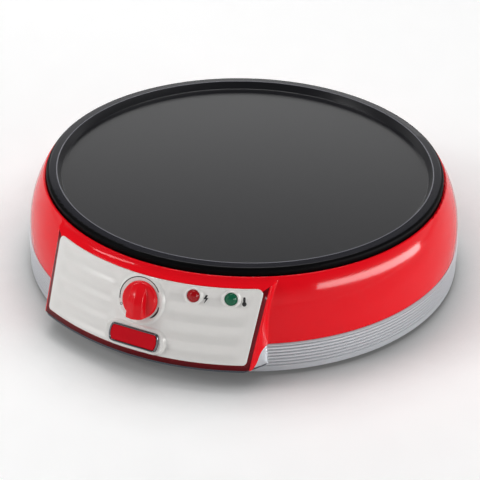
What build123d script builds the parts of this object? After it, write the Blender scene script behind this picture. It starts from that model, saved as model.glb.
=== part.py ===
from build123d import *
import os
from math import asin, cos, degrees, hypot, radians, sin, sqrt, tan

# Electric crepe maker, millimetres. +Z is up, the control pod faces -Y, and the origin
# is on the table under the centre of the round cooking plate.
# Azimuths are in degrees from the pod's middle (-Y) towards +X.
# Positions on the pod's face are (azimuth or x, s), where s climbs its slope.

# ---- clearances -------------------------------------------------------------------
GAP_FIT = 0.05            # locating fit between fixed pieces, radial
GAP_RUN = 0.06            # running fit, radial
GAP_PANEL = 0.15          # around a panel in its recess
GAP_SEAT = 0.1            # between curved faces of two fixed pieces
GAP_HOLE = 0.3            # screw clearance hole, radial

# ---- cooking plate ----------------------------------------------------------------
PLATE_GAP = 0.28          # between the plate's edge and the shell's mouth
PLATE_STAND = 5.2         # top of the plate above the shell's crest
RIM_WIDTH = 8.2           # flat of the rim and its outer rounding
RIM_ROUND = 3.0
RIM_INNER_ROUND = 1.0
RECESS_DEPTH = 5.6
RECESS_RUN = 3.0          # how far the inner wall leans
PLATE_THICK = 4.4
SKIRT_H = 12.2            # from the top of the rim to the skirt's lower edge
SKIRT_WALL = 3.4
SKIRT_DRAFT = 0.6
PLATE_BOSS_R = 4.6
PLATE_BOSS_H = 6.2
PLATE_BOSS_INSET = 24.0   # from the plate's edge
PLATE_BOSS_AZIMUTHS = [45, 135, 225, 315]
PLATE_HOLE_DEPTH = 4.8
PLATE_HOLE_TIP = 0.6      # left free beyond the end of its screw
PLATE_RIB_INSET = 36.5    # from the plate's edge to its ring-shaped rib
PLATE_RIB_W = 3.0
PLATE_RIB_H = 2.6
PLATE_RIB_COUNT = 12

# ---- heating element --------------------------------------------------------------
ELEMENT_INSET = 52.0      # from the plate's edge to the middle of the ring
ELEMENT_R = 4.0
ELEMENT_GAP_DEG = 30.0    # open part of the ring, between the cold ends
ELEMENT_BEND_R = 9.0
COLD_END_DROP = 22.15     # from the ring's middle down to the terminals
TERMINAL_R = 1.8
TERMINAL_H = 7.0
CLIP_THICK = 1.0
CLIP_SPAN_DEG = 5.0
CLIP_FOOT = 6.0
CLIP_AZIMUTHS = [70, 125, 180, 235, 290]

# ---- heat shield ------------------------------------------------------------------
SHIELD_THICK = 0.8
SHIELD_INSET = 16.0       # from the plate's edge
SHIELD_FLANGE_W = 17.0
SHIELD_WALL_RUN = 4.5     # how far its wall leans
SHIELD_DEPTH = 9.2
SHIELD_DOME_INSET = 50.5
SHIELD_DOME_H = 5.0
SHIELD_PORT_R = 6.0
SHIELD_VENT_R = 3.0
SHIELD_VENT_INSET = 36.5
SHIELD_VENT_COUNT = 10

# ---- drum-shaped shell ------------------------------------------------------------
BAND_R = 165.0            # the drum's radius, which all round pieces follow
BAND_BOTTOM_Z = 3.0
BAND_TOP_Z = 26.2
BAND_STEP = 1.2           # how far the band stands proud of the red shell
SHELL_WALL = 2.4
SHELL_STRAIGHT_H = 5.8    # upright part of the red wall above the band
SHELL_CURVE_R = 78.0      # radius of its inward curve
SHELF_DROP = 17.0         # from the crest down to the shelf's underside
SHELF_THICK = 2.5
SHELF_INSET = 31.5        # from the plate's edge
SHELF_NOTCH_W = 56.0      # clears the thermostat
SHELF_NOTCH_INSET = 21.0
GUSSET_AZIMUTHS = [72, 125, 180, 235, 288]
GUSSET_W = 2.0
GUSSET_H = 14.0
GUSSET_REACH = 18.0

# ---- base -------------------------------------------------------------------------
BASE_WALL = 2.8
BAND_EDGE = 0.8           # bevels of the band
FLOOR_RISE = 2.0          # underside of the floor above the band's lower edge
FLOOR_THICK = 2.5
RIB_COUNT = 7
RIB_GROOVE_W = 1.3
RIB_GROOVE_DEPTH = 0.8
RIB_LOW_MARGIN = 5.5      # plain band below the first groove's middle
RIB_HIGH_MARGIN = 2.0
TONGUE_H = 2.8
TONGUE_WALL = 1.4
TONGUE_GAP = 0.4
TONGUE_ROOT_H = 4.0
TONGUE_ROOT_RUN = 3.0
BASE_BOSS_R = 5.8
SHELL_BOSS_R = 5.0
BOSS_INSET = 14.3         # from the shell's outside
BOSS_AZIMUTHS = [48, 100, 150, 210, 260, 312]
BOSS_JOINT_DROP = 2.0     # where the two bosses meet, below the parting line
BOSS_JOINT_GAP = 0.2
SHELL_BOSS_RISE = 17.8
BOSS_WEB_RISE = 4.8
BASE_WEB_DROP = 6.0
BOSS_RIB_W = 2.2
VENT_COUNT = 16
VENT_INSET = 73.0         # from the band's outside
VENT_L = 40.0
VENT_W = 5.0
FOOT_INSET = 33.0         # from the band's outside
FOOT_AZIMUTHS = {"front_left": -40, "front_right": 40, "rear_left": -140, "rear_right": 140}
FOOT_R = 10.0
FOOT_ROUND = 1.2
FOOT_RECESS = 1.0
FOOT_PEG_R = 3.0
FOOT_BARB = 0.6
FOOT_BARB_H = 1.6
FOOT_BARB_DRAFT = 30.0

# ---- control pod ------------------------------------------------------------------
FACE_REACH = 14.2         # the face lies on a cone: its lower edge stands out from the band
FACE_DROP = 7.3           # and lies below the parting line
FACE_LEAN = 22.56         # how far the face leans back, degrees
FACE_LENGTH = 53.2        # from lower to upper edge, along the slope
FACE_HALF_W = 77.9        # half width of its lower edge
BROW_RISE = 4.97          # from the face's upper edge up to the shell's crest
LIP_SIDE = 3.4            # red frame beside the fascia
LIP_BOTTOM = 3.5
LIP_TOP = 1.3
CHEEK_TOE = 10.8          # cheeks spread towards the drum, degrees
CHEEK_DRAFT = 3.3         # and close in towards the top, degrees
POD_WALL = 2.6
POD_EDGE_ROUND = 2.5
POD_ROOT_ROUND = 2.5
POD_ROOM_REACH = 16.8     # the pod's hollow reaches this far in from the shell's outside
POD_ROOM_ROOF = 1.4       # and ends below the face's upper edge
POD_ROOM_SLOPE = 3.0
POD_ROOM_FLOOR = 12.0     # and goes on below its lower lip
NOSE_STRIP_H = 1.4        # thin edge of the base under the pod
NOSE_SETBACK = 0.5
NOSE_RISE = 5.0           # root of the fairing above the band's lower edge
NOSE_SIDE_ROUND = 5.0
SWOOP_REACH = 8.4         # inflection of the swept parting line, out from the band
SWOOP_DROP = 5.9          # and below the band's top
SWOOP_FALL = 0.1          # slope at which it leaves the band
SWOOP_END = 0.4           # how far it runs out past the lip
SWOOP_END_FALL = 0.25     # and how steeply
NOSE_ROOM_INTO = 6.0      # the fairing's hollow reaches this far into the pan
NOSE_ROOM_TAPER = 2.0

# ---- fascia -----------------------------------------------------------------------
FASCIA_SEAT = 2.4         # depth of its recess
FASCIA_PROUD = 0.6
FASCIA_CORNER_TOP = 5.0
FASCIA_CORNER_BOTTOM = 2.5
FASCIA_BEVEL = 0.5
FLUTE_COUNT = 4
FLUTE_DEPTH = 0.8
FLUTE_MARGIN = 1.4        # plain border above and below the flutes
FLUTE_SIDE_MARGIN = 5.0
KNOB_PAD_R = 16.6
KNOB_PAD_H = 1.6
BADGE_PAD = (43.6, 16.4)  # width and height
BADGE_PAD_BOW = 2.0
BADGE_PAD_H = 1.4
BADGE_S = 9.3             # height of the badge's middle on the face
LENS_SEAT_R = 5.4
FASCIA_SCREW_AZIMUTHS = [-22, 22]
FASCIA_SCREW_S = [9.0, 33.0]
FASCIA_BOSS_R = 3.4

# ---- badge ------------------------------------------------------------------------
BADGE = (38.0, 13.4)
BADGE_BOW = 1.6
BADGE_RIM_W = 1.3
BADGE_RIM_H = 1.8
BADGE_RIM_ROUND = 0.3
BADGE_TRAY_H = 0.5
BADGE_PLATE_H = 0.9
BADGE_PIN_R = 1.2
BADGE_PIN_X = 12.0
BADGE_PIN_L = 5.0

# ---- knob and thermostat ------------------------------------------------------------
KNOB_DROP = 17.0          # from the face's upper edge down to the knob's axis
KNOB_R = 13.2
KNOB_DISC_H = 3.2
KNOB_DISC_DRAFT = 14.0
KNOB_H = 9.3
KNOB_LIFT = 0.5           # gap between knob and pad
KNOB_SKIRT_WALL = 1.8
KNOB_SKIRT_DEPTH = 1.4
KNOB_HUB_R = 5.0
GRIP_TOP_W = 8.4
GRIP_FOOT_W = 12.6
GRIP_WAIST_W = 9.4        # at half height, so the flanks are hollow
GRIP_LOW_END = 13.0       # reach of the grip below the axis
GRIP_FLAT_TOP = 4.5       # where its crest starts to fall away above the axis
GRIP_HIGH_END = 12.6
GRIP_EDGE_ROUND = 0.8
GRIP_WAIST_RISE = 0.6     # waist above half height
GRIP_LOW_LEAN = 0.5       # how far its lower end leans
GRIP_TIP_SHARE = 0.7      # height of its tip as a share of the disc's
SPINDLE_R = 3.0
SPINDLE_FLAT = 1.0
SPINDLE_IN_KNOB = 6.8
SPINDLE_IN_BODY = 6.0
SPINDLE_HOLE_R = 4.0
THERMO = (28.0, 24.0, 17.0)
THERMO_BUSH_R = 4.5
THERMO_BUSH_H = 4.0
THERMO_BLADE = (6.3, 0.8, 8.0)
THERMO_BLADE_COUNT = 3
THERMO_SCREW_X = 9.6
BRACKET = (50.0, 22.0, 1.2)
BRACKET_FLANGE = 6.0
BRACKET_GAP = 6.5         # from the pod's inner wall to the bracket
BRACKET_SCREW_X = 20.0
POST_R = 3.6
POST_ROOT = 1.0
POST_HOLE_END = 2.0       # solid end of the posts' holes
THERMO_SCREW_L = 6.0
THERMO_EDGE_ROUND = 1.5
THERMO_HOLE_DEPTH = 6.0
SPINDLE_TIP_GAP = 0.2
BLADE_SPACE = 2.0         # between two blades
BLADE_RISE = 4.0          # from the case's lower edge

# ---- sensor and fuse ---------------------------------------------------------------
BULB_R = 2.5
BULB_L = 55.0
BULB_Y = -34.0
CAPILLARY_R = 0.9
CAPILLARY_BEND = 8.0
CAPILLARY_X = 40.0        # where it goes down through the heat shield
CAPILLARY_INSET = 26.0    # from the element's ring
CAPILLARY_DIP = 3.0
FUSE_R = 3.2
FUSE_L = 26.0
FUSE_Y = 30.0
FUSE_LEAD_R = 0.8
FUSE_LEAD_L = 9.0
SADDLE_THICK = 0.8
SADDLE_W = 9.0
SADDLE_FOOT = 5.0

# ---- pilot lights -------------------------------------------------------------------
LENS_R = 4.0
LENS_DOME_H = 2.2
LENS_FLANGE_R = 4.9
LENS_FLANGE_H = 0.7
LENS_STEM_R = 3.4
LENS_STEM_L = 9.0
LENS_BORE_R = 2.4
LENS_DROP = 7.1           # from the face's upper edge
LENS_SHARES = {"power": 0.5136, "ready": 0.8617}   # of the face's half width, from its middle
LAMP_R = 2.0
LAMP_TIP_DEPTH = 1.0
LAMP_HOLDER_R = 4.4
LAMP_HOLDER_L = 7.0

# ---- mains entry --------------------------------------------------------------------
GLAND_BORE_R = 3.6
GLAND_NECK_R = 6.4
GLAND_FLANGE_R = 8.6
GLAND_FLANGE_H = 2.4
GLAND_REACH_IN = 9.0      # from the band's outside
GLAND_INNER_H = 2.8
GLAND_NOSE_R = 5.4
GLAND_NOSE_L = 6.0
BLOCK = (34.0, 15.0, 12.0)
BLOCK_INSET = 47.0        # from the band's outside
BLOCK_EDGE = 0.8
BLOCK_WIRE_SHARE = 0.55   # height of the wire holes as a share of the block's
BLOCK_WAYS = 3
BLOCK_WIRE_R = 2.0
BLOCK_SCREW_R = 2.2
BLOCK_PEG_R = 1.5
BLOCK_PEG_X = 5.5
BLOCK_PEG_END = 4.0       # from the block's top down to the peg's end
BLOCK_PEG_GAP = 0.5

# ---- screws --------------------------------------------------------------------------
SCREW_R = 1.9
SCREW_HEAD_R = 3.7
SCREW_HEAD_H = 2.4
SMALL_SCREW_R = 1.4
SMALL_HEAD_R = 2.7
SMALL_HEAD_H = 1.8
WASHER_HEAD_R = 4.4
COUNTERBORE_DROP = 8.0    # from the boss's top down to the screw head's seat
BASE_SCREW_L = 24.0
SCREW_TIP_GAP = 2.2
FASCIA_SCREW_BITE = 0.6

# ---- reach of cutters and joints, beyond what they cut or join -----------------------
PAST = 3.0                # a cutter's reach past the piece
SINK = 1.0                # a feature's start inside its body
ON_FACE_TOLERANCE = 0.02
FACE_CUT_H = 8.0          # height of the cutters above the face
HOUSING_SPARE = 6.0       # the outer form is made too tall and trimmed afterwards
HOUSING_CORE_DEPTH = 50.0
FAR_REACH = 20.8          # cutters reach this far out past the face
PRISM_FRONT = 60.0        # length of the pod's wedge before and behind its face
PRISM_BACK = 100.0
POD_ZONE_MARGIN = 5.7
SIDE_SHARE = 0.8          # edges beyond this share of the face's half width are at its sides

# ---- values worked out from the above ------------------------------------------------
LEAN_COS = cos(radians(FACE_LEAN))
LEAN_SIN = sin(radians(FACE_LEAN))
FACE_BOTTOM_R = BAND_R + FACE_REACH
FACE_BOTTOM_Z = BAND_TOP_Z - FACE_DROP
SHELL_R = BAND_R - BAND_STEP
SHELL_TOP_Z = FACE_BOTTOM_Z + FACE_LENGTH * LEAN_COS + BROW_RISE
SHELL_CURVE_Z = BAND_TOP_Z + SHELL_STRAIGHT_H
SHELL_CURVE_C = SHELL_R - SHELL_CURVE_R
CREST_ROUND = SHELL_WALL / 2
CREST_CURVE_R = SHELL_CURVE_R - CREST_ROUND
CREST_RISE = SHELL_TOP_Z - CREST_ROUND - SHELL_CURVE_Z
CREST_R = SHELL_CURVE_C + sqrt(CREST_CURVE_R ** 2 - CREST_RISE ** 2)
PLATE_R = CREST_R - CREST_ROUND - PLATE_GAP
PLATE_TOP_Z = SHELL_TOP_Z + PLATE_STAND
PLATE_BOSS_RING_R = PLATE_R - PLATE_BOSS_INSET
PLATE_RING_RIB_R = PLATE_R - PLATE_RIB_INSET
RIM_INNER_R = PLATE_R - RIM_WIDTH
COOK_R = RIM_INNER_R - RECESS_RUN
COOK_Z = PLATE_TOP_Z - RECESS_DEPTH
UNDER_Z = COOK_Z - PLATE_THICK
BOSS_FOOT_Z = UNDER_Z - PLATE_BOSS_H
SKIRT_BOTTOM_Z = PLATE_TOP_Z - SKIRT_H
ELEMENT_RING_R = PLATE_R - ELEMENT_INSET
ELEMENT_Z = UNDER_Z - ELEMENT_R - GAP_FIT
COLD_END_Z = ELEMENT_Z - COLD_END_DROP
CAPILLARY_PORT = (CAPILLARY_X, CAPILLARY_INSET - ELEMENT_RING_R)
SHIELD_Z = BOSS_FOOT_Z - SHIELD_THICK
SHIELD_PAN_Z = SHIELD_Z - SHIELD_DEPTH
SHIELD_OUT_R = PLATE_R - SHIELD_INSET
SHIELD_RIM_R = SHIELD_OUT_R - SHIELD_FLANGE_W
SHIELD_PAN_R = SHIELD_RIM_R - SHIELD_WALL_RUN
SHIELD_DOME_R = SHIELD_PAN_R - SHIELD_DOME_INSET
SHIELD_VENT_RING_R = SHIELD_PAN_R - SHIELD_VENT_INSET
SHELF_Z = SHELL_TOP_Z - SHELF_DROP
SHELF_TOP_Z = SHELF_Z + SHELF_THICK
SHELF_INNER_R = PLATE_R - SHELF_INSET
SHELF_NOTCH_R = PLATE_R - SHELF_NOTCH_INSET
FLOOR_Z = BAND_BOTTOM_Z + FLOOR_RISE
FLOOR_TOP_Z = FLOOR_Z + FLOOR_THICK
BASE_IN_R = BAND_R - BASE_WALL
BASE_TOP_Z = BAND_TOP_Z - GAP_SEAT
RIB_FIRST_Z = BAND_BOTTOM_Z + RIB_LOW_MARGIN
RIB_PITCH = (BASE_TOP_Z - RIB_HIGH_MARGIN - RIB_FIRST_Z) / (RIB_COUNT - 1)
BOSS_RING_R = SHELL_R - BOSS_INSET
SHELL_BOSS_LOW_Z = BAND_TOP_Z - BOSS_JOINT_DROP
SHELL_BOSS_TOP_Z = BAND_TOP_Z + SHELL_BOSS_RISE
SHELL_BOSS_WEB_Z = BAND_TOP_Z + BOSS_WEB_RISE
BASE_BOSS_TOP_Z = SHELL_BOSS_LOW_Z - BOSS_JOINT_GAP
COUNTERBORE_Z = BASE_BOSS_TOP_Z - COUNTERBORE_DROP
SHELL_HOLE_TOP_Z = COUNTERBORE_Z + BASE_SCREW_L + SCREW_TIP_GAP
VENT_R_OUT = BAND_R - VENT_INSET
FOOT_RING_R = BAND_R - FOOT_INSET
GLAND_INNER_Y = BAND_R - GLAND_REACH_IN
BLOCK_Y = BAND_R - BLOCK_INSET
NOSE_ROOT_Z = BAND_BOTTOM_Z + NOSE_RISE
SWOOP_R = BAND_R + SWOOP_REACH
SWOOP_Z = BAND_TOP_Z - SWOOP_DROP
KNOB_S = FACE_LENGTH - KNOB_DROP
LENS_S = FACE_LENGTH - LENS_DROP
LENS_AZIMUTHS = {
    side: degrees(asin(share * FACE_HALF_W / FACE_BOTTOM_R)) for side, share in LENS_SHARES.items()
}
POD_ROOM_R = SHELL_R - POD_ROOM_REACH
POD_ROOM_TOP_S = FACE_LENGTH - POD_ROOM_ROOF
POD_SKIN = FASCIA_SEAT + POD_WALL
KNOB_BASE_H = KNOB_PAD_H + KNOB_LIFT
BRACKET_DEPTH = POD_SKIN + BRACKET_GAP
THERMO_DEPTH = BRACKET_DEPTH + BRACKET[2]
SPINDLE_DEPTH = THERMO_DEPTH + SPINDLE_IN_BODY
HOUSING_LOW_Z = BAND_BOTTOM_Z - HOUSING_SPARE
HOUSING_HIGH_Z = SHELL_TOP_Z + HOUSING_SPARE
HOUSING_CORE_R = SHELL_R - HOUSING_CORE_DEPTH
FAR_R = FACE_BOTTOM_R + FAR_REACH
POD_ZONE_DEG = 2 * degrees(asin((FACE_HALF_W + POD_ZONE_MARGIN) / HOUSING_CORE_R))
SIDE_X = FACE_HALF_W * SIDE_SHARE


# ---- helpers ---------------------------------------------------------------------------
def polar(radius, azimuth, z=0.0):
    """Point at a radius, an azimuth from the front and a height."""
    turn = radians(azimuth)
    return Vector(radius * sin(turn), -radius * cos(turn), z)


def radial_plane(azimuth):
    """Plane through the Z axis: local x points outwards, local y up."""
    turn = radians(azimuth)
    return Plane(origin=(0, 0, 0), x_dir=(sin(turn), -cos(turn), 0), z_dir=(-cos(turn), -sin(turn), 0))


def turned(section, azimuth=0.0, span=360.0):
    """Solid of revolution about Z of an (r, z) face, over a span centred on an azimuth."""
    start = azimuth - span / 2
    return revolve(radial_plane(start) * section, Axis.Z, span)


def polygon(*points):
    """Face with straight edges through (r, z) points."""
    return make_face(Polyline(*points, close=True))


def round_corner(section, corner, radius):
    """Face with the corner nearest to an (r, z) point rounded."""
    spot = Vector(*corner)
    nearest = section.vertices().sort_by(lambda v: (Vector(v) - spot).length)[0]
    return fillet(nearest, radius)


def post(radius, spot, z_low, z_high):
    """Upright cylinder over a spot, between two heights."""
    return Pos(spot.X, spot.Y, z_low) * extrude(Circle(radius), z_high - z_low)


def fin(azimuth, width, *points):
    """Radial web of a given width with an (r, z) outline."""
    return extrude(radial_plane(azimuth) * polygon(*points), width / 2, both=True)


def ribbon(points, thickness):
    """Face of a bent strip: the (r, z) polyline thickened upwards or to its left."""
    line = [Vector(r, z) for r, z in points]
    ways = [(b - a).normalized() for a, b in zip(line, line[1:])]
    sides = [Vector(-way.Y, way.X) for way in ways]
    before = [sides[0]] + sides
    after = sides + [sides[-1]]
    mitres = [(a + b) / (1 + a.dot(b)) for a, b in zip(before, after)]
    moved = [p + m * thickness for p, m in zip(line, mitres)]
    return make_face(Polyline(*line, *reversed(moved), close=True))


def face_r(s):
    """Radius of the face cone at a height s measured along its slope."""
    return FACE_BOTTOM_R - s * LEAN_SIN


def face_z(s):
    """Height of the face cone at s along its slope."""
    return FACE_BOTTOM_Z + s * LEAN_COS


def face_line(s, depth=0.0):
    """(r, z) of the point at s on the face, sunk by a depth along its normal."""
    return (face_r(s) - depth * LEAN_COS, face_z(s) - depth * LEAN_SIN)


def face_plane(azimuth, s, lift=0.0):
    """Plane on the face: local z is its outward normal, local y runs up the slope."""
    turn = radians(azimuth)
    out = Vector(sin(turn), -cos(turn), 0)
    normal = out * LEAN_COS + Vector(0, 0, LEAN_SIN)
    origin = polar(face_r(s), azimuth, face_z(s)) + normal * lift
    return Plane(origin=origin, x_dir=(cos(turn), sin(turn), 0), z_dir=normal)


def drill(radius, azimuth, s, depth):
    """Cylinder along the face normal, for holes through fascia and wall."""
    return extrude(face_plane(azimuth, s, FACE_CUT_H) * Circle(radius), -(FACE_CUT_H + depth))


def drafted_prism(inset):
    """Space between the pod's two cheek planes, moved in by an inset."""
    y_edge = -sqrt(FACE_BOTTOM_R ** 2 - FACE_HALF_W ** 2)
    toe = tan(radians(CHEEK_TOE))
    sink = tan(radians(CHEEK_DRAFT)) * (FACE_BOTTOM_Z - HOUSING_LOW_Z)
    edge_w = FACE_HALF_W + LIP_SIDE - inset + sink
    y_front = y_edge - PRISM_FRONT
    y_back = y_edge + PRISM_BACK
    front_w = edge_w - toe * PRISM_FRONT
    back_w = edge_w + toe * PRISM_BACK
    outline = polygon((-front_w, y_front), (front_w, y_front), (back_w, y_back), (-back_w, y_back))
    height = HOUSING_HIGH_Z - HOUSING_LOW_Z + PAST
    return Pos(0, 0, HOUSING_LOW_Z) * extrude(outline, height, taper=CHEEK_DRAFT)


def bowed(width, height, bow):
    """Rectangle whose two ends bow outwards."""
    x = width / 2 - bow
    y = height / 2
    edges = [
        Line((-x, -y), (x, -y)),
        ThreePointArc((x, -y), (x + bow, 0), (x, y)),
        Line((x, y), (-x, y)),
        ThreePointArc((-x, y), (-x - bow, 0), (-x, -y)),
    ]
    return make_face(edges)


def screw(head_r, shank_r, head_h, length):
    """Pan-head screw: head under z = 0, shank up from it."""
    head = Pos(0, 0, -head_h) * extrude(Circle(head_r), head_h)
    rim = head.edges().group_by(Axis.Z)[0]
    return fillet(rim, head_h * 0.4) + extrude(Circle(shank_r), length)


# ---- outer form shared by shell and base -------------------------------------------------
def wall_point(z, inset=0.0):
    """(r, z) on the drum's outer surface, moved in by an inset."""
    rise = max(z - SHELL_CURVE_Z, 0.0)
    return (SHELL_CURVE_C + sqrt((SHELL_CURVE_R - inset) ** 2 - rise ** 2), z)


def wall_arc(z_low, z_high, inset=0.0):
    """The drum's inward curve between two heights."""
    middle = (z_low + z_high) / 2
    return ThreePointArc(wall_point(z_low, inset), wall_point(middle, inset), wall_point(z_high, inset))


def drum_form():
    """Drum with its curved wall, taller than needed, hollow inside the core radius."""
    low = (SHELL_R, HOUSING_LOW_Z)
    high = wall_point(HOUSING_HIGH_Z)
    edges = [
        Line((HOUSING_CORE_R, HOUSING_LOW_Z), low),
        Line(low, wall_point(SHELL_CURVE_Z)),
        wall_arc(SHELL_CURVE_Z, HOUSING_HIGH_Z),
        Line(high, (HOUSING_CORE_R, HOUSING_HIGH_Z)),
        Line((HOUSING_CORE_R, HOUSING_HIGH_Z), (HOUSING_CORE_R, HOUSING_LOW_Z)),
    ]
    return turned(make_face(edges))


def pod_form(inset):
    """Pod between its cheeks with the leaning cone as its front, taller than needed."""
    s_low = (HOUSING_LOW_Z - FACE_BOTTOM_Z) / LEAN_COS
    s_high = (HOUSING_HIGH_Z - FACE_BOTTOM_Z) / LEAN_COS
    low = face_line(s_low)
    high = face_line(s_high)
    back = inset / LEAN_COS
    root_r = HOUSING_CORE_R + 2 * SHELL_WALL
    section = polygon(
        (root_r, HOUSING_LOW_Z),
        (low[0] - back, HOUSING_LOW_Z),
        (high[0] - back, HOUSING_HIGH_Z),
        (root_r, HOUSING_HIGH_Z),
    )
    block = turned(section, 0, POD_ZONE_DEG) & drafted_prism(inset)
    return fillet(block.edges().filter_by(is_front_crease), POD_EDGE_ROUND)


def is_front_crease(edge):
    """True for the two long edges between the pod's face and its cheeks."""
    spot = edge.center()
    tall = edge.length > HOUSING_HIGH_Z - HOUSING_LOW_Z
    return tall and abs(spot.X) > SIDE_X and hypot(spot.X, spot.Y) > SHELL_R


def is_root_crease(edge):
    """True for the edges where the pod's cheeks run into the drum."""
    spot = edge.center()
    radius = hypot(spot.X, spot.Y)
    upright = abs(edge.tangent_at(0.5).Z) > 0.5
    return upright and abs(spot.X) > SIDE_X and HOUSING_CORE_R + SINK < radius < SHELL_R + SINK


def housing_form():
    """Drum and pod as one solid, blended where they meet."""
    form = drum_form() + pod_form(0)
    return fillet(form.edges().filter_by(is_root_crease), POD_ROOT_ROUND)


def swoop(lift=0.0):
    """Swept parting line from the band out to the pod's lower lip, as edges in (r, z)."""
    lip = face_line(-LIP_BOTTOM)
    start = (BAND_R, BAND_TOP_Z + lift)
    inflection = (SWOOP_R, SWOOP_Z + lift)
    first = TangentArc(start, inflection, tangent=(1, -SWOOP_FALL))
    end = (lip[0] + SWOOP_END, lip[1] + lift - SWOOP_END * SWOOP_END_FALL)
    second = TangentArc(inflection, end, tangent=first % 1)
    return [first, second]


# ---- upper housing -----------------------------------------------------------------------
def shell_keep():
    """(r, z) face of what the upper housing keeps: wall, crest, plate shelf and all beyond."""
    sine = CREST_RISE / CREST_CURVE_R
    cosine = sqrt(1 - sine ** 2)
    outside = (SHELL_CURVE_C + SHELL_CURVE_R * cosine, SHELL_CURVE_Z + SHELL_CURVE_R * sine)
    top = (CREST_R - CREST_ROUND * sine, SHELL_CURVE_Z + CREST_RISE + CREST_ROUND * cosine)
    inside_z = SHELL_CURVE_Z + CREST_RISE - CREST_ROUND * sine
    inside = wall_point(inside_z, SHELL_WALL)
    brow = face_line(FACE_LENGTH + LIP_TOP)
    fall = (outside[1] - brow[1]) / (brow[0] - outside[0])
    far = (FAR_R, outside[1] - fall * (FAR_R - outside[0]))
    foot = (SHELL_R - SHELL_WALL, BAND_TOP_Z)
    sweep_edges = swoop()
    lip = sweep_edges[1] @ 1
    edges = [
        Line(foot, (BAND_R, BAND_TOP_Z)),
        *sweep_edges,
        Line(lip, (FAR_R, lip.Y)),
        Line((FAR_R, lip.Y), far),
        Line(far, outside),
        ThreePointArc(outside, top, inside),
        wall_arc(SHELF_TOP_Z, inside_z, SHELL_WALL),
        Line(wall_point(SHELF_TOP_Z, SHELL_WALL), (SHELF_INNER_R, SHELF_TOP_Z)),
        Line((SHELF_INNER_R, SHELF_TOP_Z), (SHELF_INNER_R, SHELF_Z)),
        Line((SHELF_INNER_R, SHELF_Z), wall_point(SHELF_Z, SHELL_WALL)),
        wall_arc(SHELL_CURVE_Z, SHELF_Z, SHELL_WALL),
        Line(wall_point(SHELL_CURVE_Z, SHELL_WALL), foot),
    ]
    return make_face(edges)


def pod_room():
    """Room inside the pod, open to the drum."""
    low = face_line(-LIP_BOTTOM - POD_ROOM_FLOOR, POD_SKIN)
    high = face_line(POD_ROOM_TOP_S, POD_SKIN)
    section = polygon((POD_ROOM_R, low[1]), low, high, (POD_ROOM_R, high[1] + POD_ROOM_SLOPE))
    return turned(section, 0, POD_ZONE_DEG) & drafted_prism(POD_WALL)


def fascia_block(gap, depth, proud):
    """Fascia outline grown by a gap, with rounded corners, as a layer on the face cone."""
    tall = turned(face_layer(gap, FACE_CUT_H, FACE_CUT_H), 0, POD_ZONE_DEG) & drafted_prism(LIP_SIDE - gap)
    tall = fillet(corner_edges(tall)[-1], FASCIA_CORNER_TOP)
    tall = fillet(corner_edges(tall)[0], FASCIA_CORNER_BOTTOM)
    return tall & turned(face_layer(gap + PAST, depth, proud), 0, POD_ZONE_DEG)


def face_layer(gap, depth, proud):
    """(r, z) face along the cone, from a depth below it to a height above it."""
    low = -gap
    high = FACE_LENGTH + gap
    return polygon(
        face_line(low, depth), face_line(low, -proud), face_line(high, -proud), face_line(high, depth)
    )


def corner_edges(block):
    """The block's short corner edges, in rows from the lowest to the highest."""
    short = block.edges().filter_by(lambda e: e.length < 3 * FACE_CUT_H and abs(e.center().X) > SIDE_X)
    return short.group_by(Axis.Z)


def gussets():
    """Webs that hold up the plate's shelf, rooted in the wall."""
    half = SHELL_WALL / 2
    inner_r = wall_point(SHELF_Z, half)[0] - GUSSET_REACH
    outline = [
        (inner_r, SHELF_Z + SINK), (inner_r, SHELF_Z),
        wall_point(SHELF_Z - GUSSET_H, half), wall_point(SHELF_Z + SINK, half),
    ]
    return [fin(azimuth, GUSSET_W, *outline) for azimuth in GUSSET_AZIMUTHS]


def shelf_notch():
    """Gap in the shelf behind the pod, where the thermostat stands."""
    length = POD_ROOM_R + SINK - SHELF_NOTCH_R
    height = 4 * SHELF_THICK
    return Pos(0, -SHELF_NOTCH_R - length / 2, SHELF_Z) * Box(SHELF_NOTCH_W, length, height)


def shell_bosses():
    """Screw bosses of the upper housing, each tied to the wall."""
    bosses = []
    for azimuth in BOSS_AZIMUTHS:
        spot = polar(BOSS_RING_R, azimuth)
        column = post(SHELL_BOSS_R, spot, SHELL_BOSS_LOW_Z, SHELL_BOSS_TOP_Z)
        web = fin(
            azimuth, BOSS_RIB_W,
            (BOSS_RING_R, SHELL_BOSS_WEB_Z), (SHELL_R - SHELL_WALL / 2, SHELL_BOSS_WEB_Z),
            (wall_point(SHELL_BOSS_TOP_Z, SHELL_WALL / 2)[0], SHELL_BOSS_TOP_Z),
            (BOSS_RING_R, SHELL_BOSS_TOP_Z),
        )
        pilot = post(SCREW_R + GAP_FIT, spot, 0, SHELL_HOLE_TOP_Z)
        bosses.append(column + web - pilot)
    return bosses


def bracket_posts():
    """Two posts behind the pod's face for the thermostat bracket."""
    posts = []
    for side in (-1, 1):
        x = side * BRACKET_SCREW_X
        top = face_plane(0, KNOB_S, -BRACKET_DEPTH)
        root = BRACKET_DEPTH - POD_SKIN + POST_ROOT
        column = extrude(top * Pos(x, 0) * Circle(POST_R), root)
        pilot = extrude(top * Pos(x, 0) * Circle(SMALL_SCREW_R + GAP_FIT), root - POST_HOLE_END)
        posts.append(column - pilot)
    return posts


def gland_notch(radius, y_from):
    """Cylinder for the notch that holds the cord gland."""
    start = Plane(origin=(0, y_from, BAND_TOP_Z), z_dir=(0, 1, 0))
    return extrude(start * Circle(radius), FAR_R - y_from)


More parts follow.
